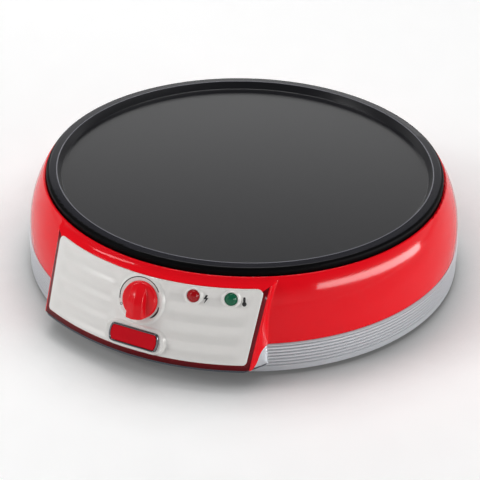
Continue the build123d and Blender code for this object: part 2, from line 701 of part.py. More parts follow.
def upper_housing():
    """Red drum shell with the pod, the plate shelf and the screw bosses."""
    body = housing_form() & turned(shell_keep())
    body -= pod_room()
    body -= shelf_notch()
    for part in gussets() + shell_bosses() + bracket_posts():
        body += part
    body -= fascia_block(GAP_PANEL, FASCIA_SEAT, FACE_CUT_H)
    body -= drill(SPINDLE_HOLE_R, 0, KNOB_S, POD_SKIN + PAST)
    for azimuth in LENS_AZIMUTHS.values():
        body -= drill(LENS_STEM_R + GAP_HOLE, azimuth, LENS_S, POD_SKIN + PAST)
    for azimuth in FASCIA_SCREW_AZIMUTHS:
        for s in FASCIA_SCREW_S:
            body -= drill(FASCIA_BOSS_R + GAP_HOLE, azimuth, s, POD_SKIN + PAST)
    for side in (-1, 1):
        pin = face_plane(0, BADGE_S) * Pos(side * BADGE_PIN_X, 0) * Circle(BADGE_PIN_R + GAP_HOLE)
        body -= extrude(pin, -POD_SKIN - PAST)
    for azimuth in PLATE_BOSS_AZIMUTHS:
        spot = polar(PLATE_BOSS_RING_R, azimuth)
        body -= post(SCREW_R + GAP_HOLE, spot, SHELF_Z - SINK, SHELF_TOP_Z + SINK)
    body -= gland_notch(GLAND_NECK_R + GAP_FIT, GLAND_INNER_Y)
    return body


# ---- base --------------------------------------------------------------------------------
def band_section():
    """(r, z) face of the base pan: recessed floor, ribbed band and tongue."""
    half = RIB_GROOVE_W / 2
    grooves = []
    for k in range(RIB_COUNT):
        z = RIB_FIRST_Z + k * RIB_PITCH
        grooves += [(BAND_R, z - half), (BAND_R - RIB_GROOVE_DEPTH, z), (BAND_R, z + half)]
    tongue_r = SHELL_R - SHELL_WALL - TONGUE_GAP
    tongue_in = tongue_r - TONGUE_WALL
    root_z = BASE_TOP_Z - TONGUE_ROOT_H
    return polygon(
        (0, FLOOR_Z),
        (BASE_IN_R, FLOOR_Z),
        (BASE_IN_R, BAND_BOTTOM_Z),
        (BAND_R - BAND_EDGE, BAND_BOTTOM_Z),
        (BAND_R, BAND_BOTTOM_Z + BAND_EDGE),
        *grooves,
        (BAND_R, BASE_TOP_Z - BAND_EDGE),
        (BAND_R - BAND_EDGE, BASE_TOP_Z),
        (tongue_r, BASE_TOP_Z),
        (tongue_r, BASE_TOP_Z + TONGUE_H),
        (tongue_in, BASE_TOP_Z + TONGUE_H),
        (tongue_in, root_z),
        (BASE_IN_R, root_z - TONGUE_ROOT_RUN),
        (BASE_IN_R, FLOOR_TOP_Z),
        (0, FLOOR_TOP_Z),
    )


def nose_slope():
    """Tip of the fairing's thin edge as (r, z), and the slope of its underside."""
    tip_z = face_line(-LIP_BOTTOM)[1] - NOSE_STRIP_H
    tip_r = face_r((tip_z - FACE_BOTTOM_Z) / LEAN_COS)
    return tip_r, tip_z, (tip_z - NOSE_ROOT_Z) / (tip_r - BAND_R)


def nose():
    """Fairing under the pod: flush with the band, swept up to a thin edge under the lip."""
    edges = swoop(-GAP_SEAT)
    lip = edges[1] @ 1
    tip_r, tip_z, slope = nose_slope()
    root_r = BASE_IN_R - 2 * SINK
    low_r = root_r - PAST
    low_z = NOSE_ROOT_Z - slope * (BAND_R - low_r)
    far_z = NOSE_ROOT_Z + slope * (FAR_R - BAND_R)
    edges += [
        Line((root_r, BASE_TOP_Z), (BAND_R, BASE_TOP_Z)),
        Line(lip, (FAR_R, lip.Y)),
        Line((FAR_R, lip.Y), (FAR_R, tip_z)),
        Line((FAR_R, tip_z), (tip_r, tip_z)),
        Line((tip_r, tip_z), (BAND_R, NOSE_ROOT_Z)),
        Line((BAND_R, NOSE_ROOT_Z), (root_r, NOSE_ROOT_Z)),
        Line((root_r, NOSE_ROOT_Z), (root_r, BASE_TOP_Z)),
    ]
    above = polygon((low_r, low_z), (FAR_R, far_z), (FAR_R, SHELF_Z), (low_r, SHELF_Z))
    belly = drafted_prism(NOSE_SETBACK) & turned(above, 0, POD_ZONE_DEG)
    belly = fillet(belly.edges().filter_by(is_belly_side), NOSE_SIDE_ROUND)
    return pod_form(NOSE_SETBACK) & turned(make_face(edges), 0, POD_ZONE_DEG) & belly


def is_belly_side(edge):
    """True for the edges between the fairing's underside and its two sides."""
    spot = edge.center()
    outwards = abs(edge.tangent_at(0.5).Y) > 0.7
    return outwards and abs(spot.X) > SIDE_X and spot.Z < BAND_TOP_Z


def nose_room():
    """Hollow of the fairing, open to the base and the pod above."""
    tip_r, _, slope = nose_slope()
    floor_z = NOSE_ROOT_Z + POD_WALL * sqrt(1 + slope ** 2)
    reach = tip_r - BAND_R - 2 * POD_WALL
    section = polygon(
        (BASE_IN_R - NOSE_ROOM_INTO, floor_z),
        (BAND_R, floor_z),
        (BAND_R + reach, floor_z + slope * reach),
        (BAND_R + reach - NOSE_ROOM_TAPER, SHELL_CURVE_Z),
        (BASE_IN_R - NOSE_ROOM_INTO, SHELL_CURVE_Z),
    )
    return turned(section, 0, POD_ZONE_DEG) & drafted_prism(POD_WALL + NOSE_SETBACK)


def base_bosses(body):
    """Adds the screw tubes with their webs, and opens their bores."""
    for azimuth in BOSS_AZIMUTHS:
        spot = polar(BOSS_RING_R, azimuth)
        web_top = BASE_BOSS_TOP_Z - BASE_WEB_DROP
        body += post(BASE_BOSS_R, spot, FLOOR_Z, BASE_BOSS_TOP_Z)
        body += fin(
            azimuth, BOSS_RIB_W,
            (BOSS_RING_R, FLOOR_Z), (BASE_IN_R + SINK, FLOOR_Z),
            (BASE_IN_R + SINK, web_top), (BOSS_RING_R, web_top),
        )
    for azimuth in BOSS_AZIMUTHS:
        spot = polar(BOSS_RING_R, azimuth)
        body -= post(SCREW_HEAD_R + GAP_HOLE, spot, BAND_BOTTOM_Z, COUNTERBORE_Z)
        body -= post(SCREW_R + GAP_HOLE, spot, 0, BASE_BOSS_TOP_Z + SINK)
    return body


def base_housing():
    """Silver pan with the ribbed band, the fairing under the pod, vents and bosses."""
    body = turned(band_section()) + nose()
    body -= nose_room()
    body = base_bosses(body)
    vent = SlotOverall(VENT_L, VENT_W)
    middle_r = VENT_R_OUT - VENT_L / 2
    for k in range(VENT_COUNT):
        azimuth = k * 360 / VENT_COUNT
        spot = polar(middle_r, azimuth)
        body -= Pos(spot.X, spot.Y, 0) * extrude(Rot(0, 0, azimuth - 90) * vent, FLOOR_TOP_Z + PAST)
    for azimuth in FOOT_AZIMUTHS.values():
        spot = polar(FOOT_RING_R, azimuth)
        body -= post(FOOT_R + GAP_FIT, spot, 0, FLOOR_Z + FOOT_RECESS)
        body -= post(FOOT_PEG_R + GAP_FIT, spot, 0, FLOOR_TOP_Z + SINK)
    for side in (-1, 1):
        spot = Vector(side * BLOCK_PEG_X, BLOCK_Y)
        body += post(BLOCK_PEG_R, spot, FLOOR_Z, FLOOR_TOP_Z + BLOCK[2] - BLOCK_PEG_END)
    body -= gland_notch(GLAND_NECK_R + GAP_FIT, GLAND_INNER_Y)
    return body


def foot(azimuth):
    """Rubber foot with a barbed peg through the floor."""
    spot = polar(FOOT_RING_R, azimuth)
    pad = extrude(Circle(FOOT_R), FLOOR_Z + FOOT_RECESS)
    pad = fillet(pad.edges().group_by(Axis.Z)[0], FOOT_ROUND)
    peg = extrude(Circle(FOOT_PEG_R), FLOOR_TOP_Z + GAP_FIT)
    barb = extrude(Circle(FOOT_PEG_R + FOOT_BARB), FOOT_BARB_H, taper=FOOT_BARB_DRAFT)
    barb = Pos(0, 0, FLOOR_TOP_Z + GAP_FIT) * barb
    return Pos(spot.X, spot.Y, 0) * (pad + peg + barb)


def base_screws():
    """Six screws up through the base tubes into the shell's bosses."""
    one = screw(SCREW_HEAD_R, SCREW_R, SCREW_HEAD_H, BASE_SCREW_L)
    return [Pos(*polar(BOSS_RING_R, azimuth, COUNTERBORE_Z)) * one for azimuth in BOSS_AZIMUTHS]


# ---- cooking plate and what hangs under it -------------------------------------------------
def cooking_plate():
    """Cast plate: raised rim, dished centre, skirt, ribs and screw bosses."""
    skirt_in = PLATE_R - SKIRT_WALL
    section = polygon(
        (0, UNDER_Z),
        (skirt_in, UNDER_Z),
        (skirt_in, SKIRT_BOTTOM_Z),
        (PLATE_R - SKIRT_DRAFT, SKIRT_BOTTOM_Z),
        (PLATE_R, PLATE_TOP_Z - RIM_ROUND),
        (PLATE_R, PLATE_TOP_Z),
        (RIM_INNER_R, PLATE_TOP_Z),
        (COOK_R, COOK_Z),
        (0, COOK_Z),
    )
    section = round_corner(section, (PLATE_R, PLATE_TOP_Z), RIM_ROUND - GAP_FIT)
    section = round_corner(section, (RIM_INNER_R, PLATE_TOP_Z), RIM_INNER_ROUND)
    plate = turned(round_corner(section, (COOK_R, COOK_Z), RIM_INNER_ROUND))
    rib_low = UNDER_Z - PLATE_RIB_H
    half = PLATE_RIB_W / 2
    plate += turned(polygon(
        (PLATE_RING_RIB_R - half, rib_low), (PLATE_RING_RIB_R + half, rib_low),
        (PLATE_RING_RIB_R + half, UNDER_Z + SINK), (PLATE_RING_RIB_R - half, UNDER_Z + SINK),
    ))
    for k in range(PLATE_RIB_COUNT):
        plate += fin(
            k * 360 / PLATE_RIB_COUNT, PLATE_RIB_W,
            (PLATE_RING_RIB_R, rib_low), (skirt_in + SINK, rib_low),
            (skirt_in + SINK, UNDER_Z + SINK), (PLATE_RING_RIB_R, UNDER_Z + SINK),
        )
    for azimuth in PLATE_BOSS_AZIMUTHS:
        spot = polar(PLATE_BOSS_RING_R, azimuth)
        plate += post(PLATE_BOSS_R, spot, BOSS_FOOT_Z, UNDER_Z + SINK)
        plate -= post(SCREW_R + GAP_FIT, spot, BOSS_FOOT_Z, BOSS_FOOT_Z + PLATE_HOLE_DEPTH)
    return plate


def cold_leg(side):
    """Where a cold end comes down, and the direction in which the ring leaves towards it."""
    azimuth = side * ELEMENT_GAP_DEG / 2
    turn = radians(azimuth)
    way = Vector(cos(turn), sin(turn), 0) * -side
    end = polar(ELEMENT_RING_R, azimuth, ELEMENT_Z)
    return end, way, end + way * ELEMENT_BEND_R


def heating_element():
    """Tubular heater: an open ring with two cold ends bent down, and their terminals."""
    solid = turned(Pos(ELEMENT_RING_R, ELEMENT_Z) * Circle(ELEMENT_R), 180, 360 - ELEMENT_GAP_DEG)
    for side in (-1, 1):
        end, way, leg = cold_leg(side)
        leg_top = Vector(leg.X, leg.Y, ELEMENT_Z - ELEMENT_BEND_R)
        leg_foot = Vector(leg.X, leg.Y, COLD_END_Z)
        bend = TangentArc(end, leg_top, tangent=way)
        profile = Plane(origin=end, z_dir=way) * Circle(ELEMENT_R)
        solid += sweep(profile, path=Wire([bend, Line(leg_top, leg_foot)]))
        solid += post(TERMINAL_R, leg_foot, COLD_END_Z - TERMINAL_H, COLD_END_Z)
    return solid


def strap_section(middle_r, middle_z, inner_r, thickness, foot_length, top_z):
    """Omega-shaped strap around a tube, with its two feet up against the plate."""
    outer_r = inner_r + thickness
    rise = top_z - middle_z
    around = Circle(outer_r) + Pos(0, rise / 2) * Rectangle(2 * outer_r, rise)
    around &= Pos(0, rise - 2 * outer_r) * Rectangle(4 * outer_r, 4 * outer_r)
    feet = Pos(0, rise - thickness / 2) * Rectangle(2 * (outer_r + foot_length), thickness)
    inside = Circle(inner_r) + Pos(0, rise) * Rectangle(2 * inner_r, 2 * rise)
    return Pos(middle_r, middle_z) * (around + feet - inside)


def element_clips():
    """Straps that hold the element against the plate."""
    section = strap_section(
        ELEMENT_RING_R, ELEMENT_Z, ELEMENT_R + GAP_FIT, CLIP_THICK, CLIP_FOOT, UNDER_Z - GAP_FIT
    )
    return [turned(section, azimuth, CLIP_SPAN_DEG) for azimuth in CLIP_AZIMUTHS]


def heat_shield():
    """Pressed pan under the element: flange, pan with a dished centre, ports and vents."""
    dome_z = SHIELD_PAN_Z + SHIELD_DOME_H
    points = [
        (0, dome_z),
        (SHIELD_DOME_R - 3 * SHIELD_DOME_H, dome_z),
        (SHIELD_DOME_R, SHIELD_PAN_Z),
        (SHIELD_PAN_R, SHIELD_PAN_Z),
        (SHIELD_RIM_R, SHIELD_Z),
        (SHIELD_OUT_R, SHIELD_Z),
    ]
    pan = turned(ribbon(points, SHIELD_THICK))
    ports = [Vector(*CAPILLARY_PORT), cold_leg(-1)[2], cold_leg(1)[2]]
    for spot in ports:
        pan -= post(SHIELD_PORT_R, spot, SHIELD_PAN_Z - SINK, SHIELD_PAN_Z + PAST)
    for k in range(SHIELD_VENT_COUNT):
        spot = polar(SHIELD_VENT_RING_R, (k + 0.5) * 360 / SHIELD_VENT_COUNT)
        pan -= post(SHIELD_VENT_R, spot, SHIELD_PAN_Z - SINK, SHIELD_PAN_Z + PAST)
    for azimuth in PLATE_BOSS_AZIMUTHS:
        spot = polar(PLATE_BOSS_RING_R, azimuth)
        pan -= post(SCREW_R + GAP_HOLE, spot, SHIELD_Z - SINK, SHIELD_Z + PAST)
    return pan


def plate_spacers():
    """Sleeves between the housing's shelf and the heat shield."""
    ring = Circle(PLATE_BOSS_R) - Circle(SCREW_R + GAP_HOLE)
    one = extrude(ring, SHIELD_Z - SHELF_TOP_Z)
    return [Pos(*polar(PLATE_BOSS_RING_R, azimuth, SHELF_TOP_Z)) * one for azimuth in PLATE_BOSS_AZIMUTHS]


def plate_screws():
    """Screws from under the shelf into the plate's bosses."""
    tip_z = BOSS_FOOT_Z + PLATE_HOLE_DEPTH - PLATE_HOLE_TIP
    one = screw(SCREW_HEAD_R, SCREW_R, SCREW_HEAD_H, tip_z - SHELF_Z)
    return [Pos(*polar(PLATE_BOSS_RING_R, azimuth, SHELF_Z)) * one for azimuth in PLATE_BOSS_AZIMUTHS]


def saddle(y, radius):
    """Strap across a tube that lies along X under the plate."""
    middle_z = UNDER_Z - radius - GAP_FIT
    section = strap_section(y, middle_z, radius + GAP_FIT, SADDLE_THICK, SADDLE_FOOT, UNDER_Z - GAP_FIT)
    upright = Plane(origin=(0, 0, 0), x_dir=(0, 1, 0), z_dir=(1, 0, 0))
    return extrude(upright * section, SADDLE_W / 2, both=True)


def sensor_clips():
    """One strap for the sensing bulb and one for the thermal fuse."""
    return [saddle(BULB_Y, BULB_R), saddle(FUSE_Y, FUSE_R)]


def capillary_sensor():
    """Sensing bulb under the plate and its thin tube to the back of the thermostat."""
    bulb_z = UNDER_Z - BULB_R - GAP_FIT
    side = Plane(origin=(-BULB_L / 2, BULB_Y, bulb_z), z_dir=(1, 0, 0))
    bulb = extrude(side * Circle(BULB_R), BULB_L)
    bulb = fillet(bulb.edges(), BULB_R * 0.6)
    port_x, port_y = CAPILLARY_PORT
    back = face_plane(0, KNOB_S, -THERMO_DEPTH - THERMO[2])
    low_z = back.origin.Z - CAPILLARY_DIP
    path = FilletPolyline(
        (BULB_L / 2 - SINK, BULB_Y, bulb_z),
        (port_x, BULB_Y, bulb_z),
        (port_x, port_y, bulb_z),
        (port_x, port_y, low_z),
        (0, port_y, low_z),
        back.origin + back.z_dir * -CAPILLARY_BEND * 2,
        back.origin - back.z_dir * GAP_FIT,
        radius=CAPILLARY_BEND * 0.8,
    )
    profile = Plane(origin=path @ 0, z_dir=path % 0) * Circle(CAPILLARY_R)
    return bulb + sweep(profile, path=path)


def thermal_fuse():
    """Fuse in its sleeve under the plate, with a lead at each end."""
    middle = Plane(origin=(0, FUSE_Y, UNDER_Z - FUSE_R - GAP_FIT), z_dir=(1, 0, 0))
    sleeve = extrude(middle * Circle(FUSE_R), FUSE_L / 2, both=True)
    sleeve = fillet(sleeve.edges(), FUSE_R * 0.4)
    return sleeve + extrude(middle * Circle(FUSE_LEAD_R), FUSE_L / 2 + FUSE_LEAD_L, both=True)


# ---- fascia and what sits on it ------------------------------------------------------------
def flute_cutters():
    """Broad shallow hollows across the fascia, with ridges between them."""
    pitch = FACE_LENGTH / FLUTE_COUNT
    crown = -FASCIA_PROUD
    faces = []
    for k in range(FLUTE_COUNT):
        low = max(k * pitch, FLUTE_MARGIN)
        high = min((k + 1) * pitch, FACE_LENGTH - FLUTE_MARGIN)
        arc = ThreePointArc(
            face_line(low, crown), face_line((low + high) / 2, crown + FLUTE_DEPTH), face_line(high, crown)
        )
        over = crown - PAST
        lid = Polyline(
            face_line(high, crown), face_line(high, over), face_line(low, over), face_line(low, crown)
        )
        faces.append(make_face([arc, *lid.edges()]))
    prism = drafted_prism(LIP_SIDE + FLUTE_SIDE_MARGIN)
    return [turned(face, 0, POD_ZONE_DEG) & prism for face in faces]


def on_face(edge, proud):
    """True for an edge that lies on the face cone, raised by a small height."""
    for t in (0.2, 0.5, 0.8):
        spot = edge @ t
        s = (spot.Z - proud * LEAN_SIN - FACE_BOTTOM_Z) / LEAN_COS
        radius = face_r(s) + proud * LEAN_COS
        if abs(hypot(spot.X, spot.Y) - radius) > ON_FACE_TOLERANCE:
            return False
    return True


def fascia_panel():
    """Fluted front panel with the flat pads for knob, badge and lenses."""
    panel = fascia_block(0, FASCIA_SEAT - GAP_SEAT, FASCIA_PROUD)
    front = panel.edges().filter_by(lambda e: on_face(e, FASCIA_PROUD))
    panel = chamfer(front, FASCIA_BEVEL)
    for cutter in flute_cutters():
        panel -= cutter
    sink = SINK - FASCIA_SEAT
    knob_face = face_plane(0, KNOB_S, sink)
    panel += extrude(knob_face * Circle(KNOB_PAD_R), KNOB_PAD_H - sink)
    badge_face = face_plane(0, BADGE_S, sink)
    panel += extrude(badge_face * bowed(*BADGE_PAD, BADGE_PAD_BOW), BADGE_PAD_H - sink)
    for azimuth in LENS_AZIMUTHS.values():
        panel += extrude(face_plane(azimuth, LENS_S, sink) * Circle(LENS_SEAT_R), FASCIA_PROUD - sink)
        panel -= drill(LENS_STEM_R + GAP_FIT, azimuth, LENS_S, POD_SKIN)
    panel -= drill(SPINDLE_HOLE_R, 0, KNOB_S, POD_SKIN)
    for side in (-1, 1):
        hole = Pos(side * BADGE_PIN_X, 0) * Circle(BADGE_PIN_R + GAP_FIT)
        panel -= extrude(face_plane(0, BADGE_S, BADGE_PAD_H) * hole, -POD_SKIN)
    for azimuth in FASCIA_SCREW_AZIMUTHS:
        for s in FASCIA_SCREW_S:
            seat = face_plane(azimuth, s, -POD_SKIN)
            panel += extrude(seat * Circle(FASCIA_BOSS_R), POD_WALL + SINK)
            panel -= extrude(seat * Circle(SMALL_SCREW_R + GAP_FIT), POD_WALL + SINK + GAP_SEAT)
    return panel


def fascia_screws():
    """Screws with wide heads, from inside the pod into the fascia's bosses."""
    one = screw(WASHER_HEAD_R, SMALL_SCREW_R, SMALL_HEAD_H, POD_WALL + FASCIA_SCREW_BITE)
    placed = []
    for azimuth in FASCIA_SCREW_AZIMUTHS:
        for s in FASCIA_SCREW_S:
            placed.append(face_plane(azimuth, s, -POD_SKIN - GAP_SEAT).location * one)
    return placed


def badge_frame():
    """Bright tray with a raised rim and two pins through the fascia."""
    width, height = BADGE
    outer = extrude(bowed(width, height, BADGE_BOW), BADGE_RIM_H)
    outer = fillet(outer.edges().group_by(Axis.Z)[-1], BADGE_RIM_ROUND)
    inner = bowed(width - 2 * BADGE_RIM_W, height - 2 * BADGE_RIM_W, BADGE_BOW)
    tray = outer - Pos(0, 0, BADGE_TRAY_H) * extrude(inner, BADGE_RIM_H)
    for side in (-1, 1):
        tray += Pos(side * BADGE_PIN_X, 0, 0) * extrude(Circle(BADGE_PIN_R), -BADGE_PIN_L)
    return face_plane(0, BADGE_S, BADGE_PAD_H).location * tray


def badge_plate():
    """Plain plate that fills the badge frame."""
    width, height = BADGE
    inset = 2 * (BADGE_RIM_W + GAP_FIT)
    plate = extrude(bowed(width - inset, height - inset, BADGE_BOW), BADGE_PLATE_H)
    plate = chamfer(plate.edges().group_by(Axis.Z)[-1], BADGE_RIM_ROUND)
    return face_plane(0, BADGE_S, BADGE_PAD_H + BADGE_TRAY_H).location * plate


def lens(azimuth):
    """Domed pilot-light lens with a hollow stem."""
    dome_low = LENS_FLANGE_H
    dome_top = dome_low + LENS_DOME_H
    dome_r = (LENS_R ** 2 + LENS_DOME_H ** 2) / (2 * LENS_DOME_H)
    half = asin(LENS_R / dome_r) / 2
    shoulder = (dome_r * sin(half), dome_top - dome_r * (1 - cos(half)))
    outline = Polyline(
        (LENS_BORE_R, -LENS_STEM_L), (LENS_STEM_R, -LENS_STEM_L), (LENS_STEM_R, 0),
        (LENS_FLANGE_R, 0), (LENS_FLANGE_R, dome_low), (LENS_R, dome_low),
    ).edges()
    outline += [ThreePointArc((LENS_R, dome_low), shoulder, (0, dome_top))]
    outline += Polyline((0, dome_top), (0, 0), (LENS_BORE_R, 0), (LENS_BORE_R, -LENS_STEM_L)).edges()
    return face_plane(azimuth, LENS_S, FASCIA_PROUD).location * turned(make_face(outline))


def lamp(azimuth):
    """Neon lamp in its holder, pushed on the lens stem behind the wall."""
    wall = -POD_SKIN - GAP_SEAT
    holder_back = wall - LAMP_HOLDER_L
    stem_end = FASCIA_PROUD - LENS_STEM_L - GAP_SEAT
    section = polygon(
        (0, -LAMP_TIP_DEPTH),
        (LAMP_R / 2, -LAMP_TIP_DEPTH),
        (LAMP_R, -LAMP_TIP_DEPTH - LAMP_R / 2),
        (LAMP_R, stem_end),
        (LENS_STEM_R + GAP_FIT, stem_end),
        (LENS_STEM_R + GAP_FIT, wall),
        (LAMP_HOLDER_R, wall),
        (LAMP_HOLDER_R, holder_back),
        (0, holder_back),
    )
    return face_plane(azimuth, LENS_S).location * turned(section)


# ---- knob and thermostat -------------------------------------------------------------------
def grip():
    """Bar grip: hollow flanks, square lower end and a crest that falls to the pointer end."""
    foot_w = GRIP_FOOT_W / 2
    top_w = GRIP_TOP_W / 2
    waist = (GRIP_WAIST_W / 2, KNOB_H / 2 + GRIP_WAIST_RISE)
    edges = [
        Line((-foot_w, 0), (foot_w, 0)),
        ThreePointArc((foot_w, 0), waist, (top_w, KNOB_H)),
        Line((top_w, KNOB_H), (-top_w, KNOB_H)),
        ThreePointArc((-top_w, KNOB_H), (-waist[0], waist[1]), (-foot_w, 0)),
    ]
    section = make_face(edges)
    section = fillet(section.vertices().group_by(Axis.Y)[-1], GRIP_EDGE_ROUND)
    across = Plane(origin=(0, -GRIP_LOW_END, 0), x_dir=(-1, 0, 0), z_dir=(0, 1, 0))
    bar = extrude(across * section, GRIP_LOW_END + GRIP_HIGH_END)
    crest = (GRIP_FLAT_TOP, KNOB_H)
    tip = (GRIP_HIGH_END, KNOB_DISC_H * GRIP_TIP_SHARE)
    heel = (GRIP_LOW_LEAN - GRIP_LOW_END, KNOB_H)
    side = [
        Line((-GRIP_LOW_END, 0), heel),
        Line(heel, crest),
        TangentArc(crest, tip, tangent=(1, 0)),
        Line(tip, (GRIP_HIGH_END, 0)),
        Line((GRIP_HIGH_END, 0), (-GRIP_LOW_END, 0)),
    ]
    along = Plane(origin=(-KNOB_R, 0, 0), x_dir=(0, 1, 0), z_dir=(1, 0, 0))
    return bar & extrude(along * make_face(side), 2 * KNOB_R)


def d_bar(radius, length):
    """Round bar along +Z with one flat towards +Y, for the shaft or its bore."""
    flat_y = radius - SPINDLE_FLAT
    trim = Pos(0, flat_y + radius, length / 2) * Box(4 * radius, 2 * radius, 2 * length)
    return extrude(Circle(radius), length) - trim


def control_knob():
    """Knob: low disc, bar grip across it, and a hub with a D-shaped bore."""
    disc = extrude(Circle(KNOB_R), KNOB_DISC_H, taper=KNOB_DISC_DRAFT)
    body = disc + grip()
    body -= extrude(Circle(KNOB_R - KNOB_SKIRT_WALL) - Circle(KNOB_HUB_R), KNOB_SKIRT_DEPTH)
    body -= d_bar(SPINDLE_R + GAP_FIT, SPINDLE_IN_KNOB + SPINDLE_TIP_GAP)
    return face_plane(0, KNOB_S, KNOB_BASE_H).location * body


def thermostat_spindle():
    """Shaft from the thermostat to the knob, flattened where the knob sits."""
    plain_l = SPINDLE_DEPTH + KNOB_BASE_H
    shaft = extrude(Circle(SPINDLE_R), plain_l) + Pos(0, 0, plain_l) * d_bar(SPINDLE_R, SPINDLE_IN_KNOB)
    return face_plane(0, KNOB_S, -SPINDLE_DEPTH).location * shaft


def thermostat_body():
    """Thermostat case behind the bracket, with its bush and blade terminals."""
    width, height, depth = THERMO
    case = Pos(0, 0, -depth / 2) * Box(width, height, depth)
    case = fillet(case.edges().filter_by(Axis.Z), THERMO_EDGE_ROUND)
    body = case + extrude(Circle(THERMO_BUSH_R), THERMO_BUSH_H)
    well = SPINDLE_IN_BODY + SPINDLE_TIP_GAP
    body -= Pos(0, 0, -well) * extrude(Circle(SPINDLE_R + GAP_RUN), well + THERMO_BUSH_H + PAST)
    for side in (-1, 1):
        hole = extrude(Circle(SMALL_SCREW_R + GAP_FIT), THERMO_HOLE_DEPTH + SINK)
        body -= Pos(side * THERMO_SCREW_X, 0, -THERMO_HOLE_DEPTH) * hole
    blade_w, blade_t, blade_l = THERMO_BLADE
    for k in range(THERMO_BLADE_COUNT):
        x = (k - (THERMO_BLADE_COUNT - 1) / 2) * (blade_w + BLADE_SPACE)
        body += Pos(x, BLADE_RISE - height / 2, -depth - blade_l / 2) * Box(blade_w, blade_t, blade_l)
    return face_plane(0, KNOB_S, -THERMO_DEPTH).location * body


def thermostat_bracket():
    """Folded steel bracket across the two posts."""
    width, height, thick = BRACKET
    plate = Pos(0, 0, -thick / 2) * Box(width, height, thick)
    for side in (-1, 1):
        x = side * (width - thick) / 2
        plate += Pos(x, 0, -BRACKET_FLANGE / 2) * Box(thick, height, BRACKET_FLANGE)
    plate -= extrude(Circle(THERMO_BUSH_R + GAP_FIT), PAST, both=True)
    for side in (-1, 1):
        for x in (BRACKET_SCREW_X, THERMO_SCREW_X):
            plate -= Pos(side * x, 0, 0) * extrude(Circle(SMALL_SCREW_R + GAP_HOLE), PAST, both=True)
    return face_plane(0, KNOB_S, -BRACKET_DEPTH).location * plate


def thermostat_screws():
    """Two screws hold the bracket on the posts, two hold the thermostat on the bracket."""
    one = screw(SMALL_HEAD_R, SMALL_SCREW_R, SMALL_HEAD_H, THERMO_SCREW_L)
    outward = face_plane(0, KNOB_S, -THERMO_DEPTH)
    front = face_plane(0, KNOB_S, -BRACKET_DEPTH)
    placed = []
    for side in (-1, 1):
        placed.append(outward.location * Pos(side * BRACKET_SCREW_X, 0, 0) * one)
        placed.append(front.location * Pos(side * THERMO_SCREW_X, 0, 0) * Rot(180, 0, 0) * one)
    return placed


# ---- mains entry ---------------------------------------------------------------------------
def cord_gland():
    """Bush in the rear parting line, flanged on both sides of the wall, with a through bore."""
    outer_y = BAND_R + GAP_SEAT * 2
    neck_y = GLAND_INNER_Y + GLAND_INNER_H
    nose_y = outer_y + GLAND_FLANGE_H
    section = polygon(
        (GLAND_BORE_R, GLAND_INNER_Y),
        (GLAND_FLANGE_R, GLAND_INNER_Y),
        (GLAND_FLANGE_R, neck_y),
        (GLAND_NECK_R, neck_y),
        (GLAND_NECK_R, outer_y),
        (GLAND_FLANGE_R, outer_y),
        (GLAND_FLANGE_R, nose_y),
        (GLAND_NECK_R, nose_y),
        (GLAND_NOSE_R, nose_y + GLAND_NOSE_L),
        (GLAND_BORE_R, nose_y + GLAND_NOSE_L),
    )
    lying = Pos(0, 0, BAND_TOP_Z) * section
    return revolve(lying, Axis((0, 0, BAND_TOP_Z), (0, 1, 0)), 360)


def terminal_block():
    """Mains terminal block on the floor, with wire holes and clamping-screw wells."""
    width, depth, height = BLOCK
    block = Pos(0, 0, height / 2) * Box(width, depth, height)
    block = chamfer(block.edges().group_by(Axis.Z)[-1], BLOCK_EDGE)
    pitch = width / BLOCK_WAYS
    wire_z = height * BLOCK_WIRE_SHARE
    for k in range(BLOCK_WAYS):
        x = (k - (BLOCK_WAYS - 1) / 2) * pitch
        wire = Plane(origin=(x, -depth, wire_z), z_dir=(0, 1, 0))
        block -= extrude(wire * Circle(BLOCK_WIRE_R), 2 * depth)
        for y in (-depth / 4, depth / 4):
            block -= Pos(x, y, wire_z) * extrude(Circle(BLOCK_SCREW_R), height)
    for side in (-1, 1):
        hole = extrude(Circle(BLOCK_PEG_R + GAP_FIT), height - BLOCK_PEG_END + BLOCK_PEG_GAP)
        block -= Pos(side * BLOCK_PEG_X, 0, 0) * hole
    return Pos(0, BLOCK_Y, FLOOR_TOP_Z) * block


# ---- one file per node ---------------------------------------------------------------------
def nodes():
    """Every node with the solid or solids it is made of."""
    made = {
        "cooking_plate": cooking_plate(),
        "heating_element": heating_element(),
        "element_clips": element_clips(),
        "heat_shield": heat_shield(),
        "plate_spacers": plate_spacers(),
        "plate_screws": plate_screws(),
        "sensor_clips": sensor_clips(),
        "capillary_sensor": capillary_sensor(),
        "thermal_fuse": thermal_fuse(),
        "upper_housing": upper_housing(),
        "base_housing": base_housing(),
        "base_screws": base_screws(),
        "fascia_panel": fascia_panel(),
        "fascia_screws": fascia_screws(),
        "badge_frame": badge_frame(),
        "badge_plate": badge_plate(),
        "control_knob": control_knob(),
        "thermostat_spindle": thermostat_spindle(),
        "thermostat_body": thermostat_body(),
        "thermostat_bracket": thermostat_bracket(),
        "thermostat_screws": thermostat_screws(),
        "cord_gland": cord_gland(),
        "terminal_block": terminal_block(),
    }
    for side, azimuth in LENS_AZIMUTHS.items():
        made[side + "_lens"] = lens(azimuth)
        made[side + "_lamp"] = lamp(azimuth)
    for corner, azimuth in FOOT_AZIMUTHS.items():
        made["foot_" + corner] = foot(azimuth)
    return made


def write(name, shape):
    """Export one node; a list of solids goes into one file."""
    if isinstance(shape, list):
        shape = Compound(children=[solid for item in shape for solid in item.solids()])
    export_step(shape, "parts/" + name + ".step")


if __name__ == "__main__":
    os.makedirs("parts", exist_ok=True)
    for name, shape in nodes().items():
        write(name, shape)
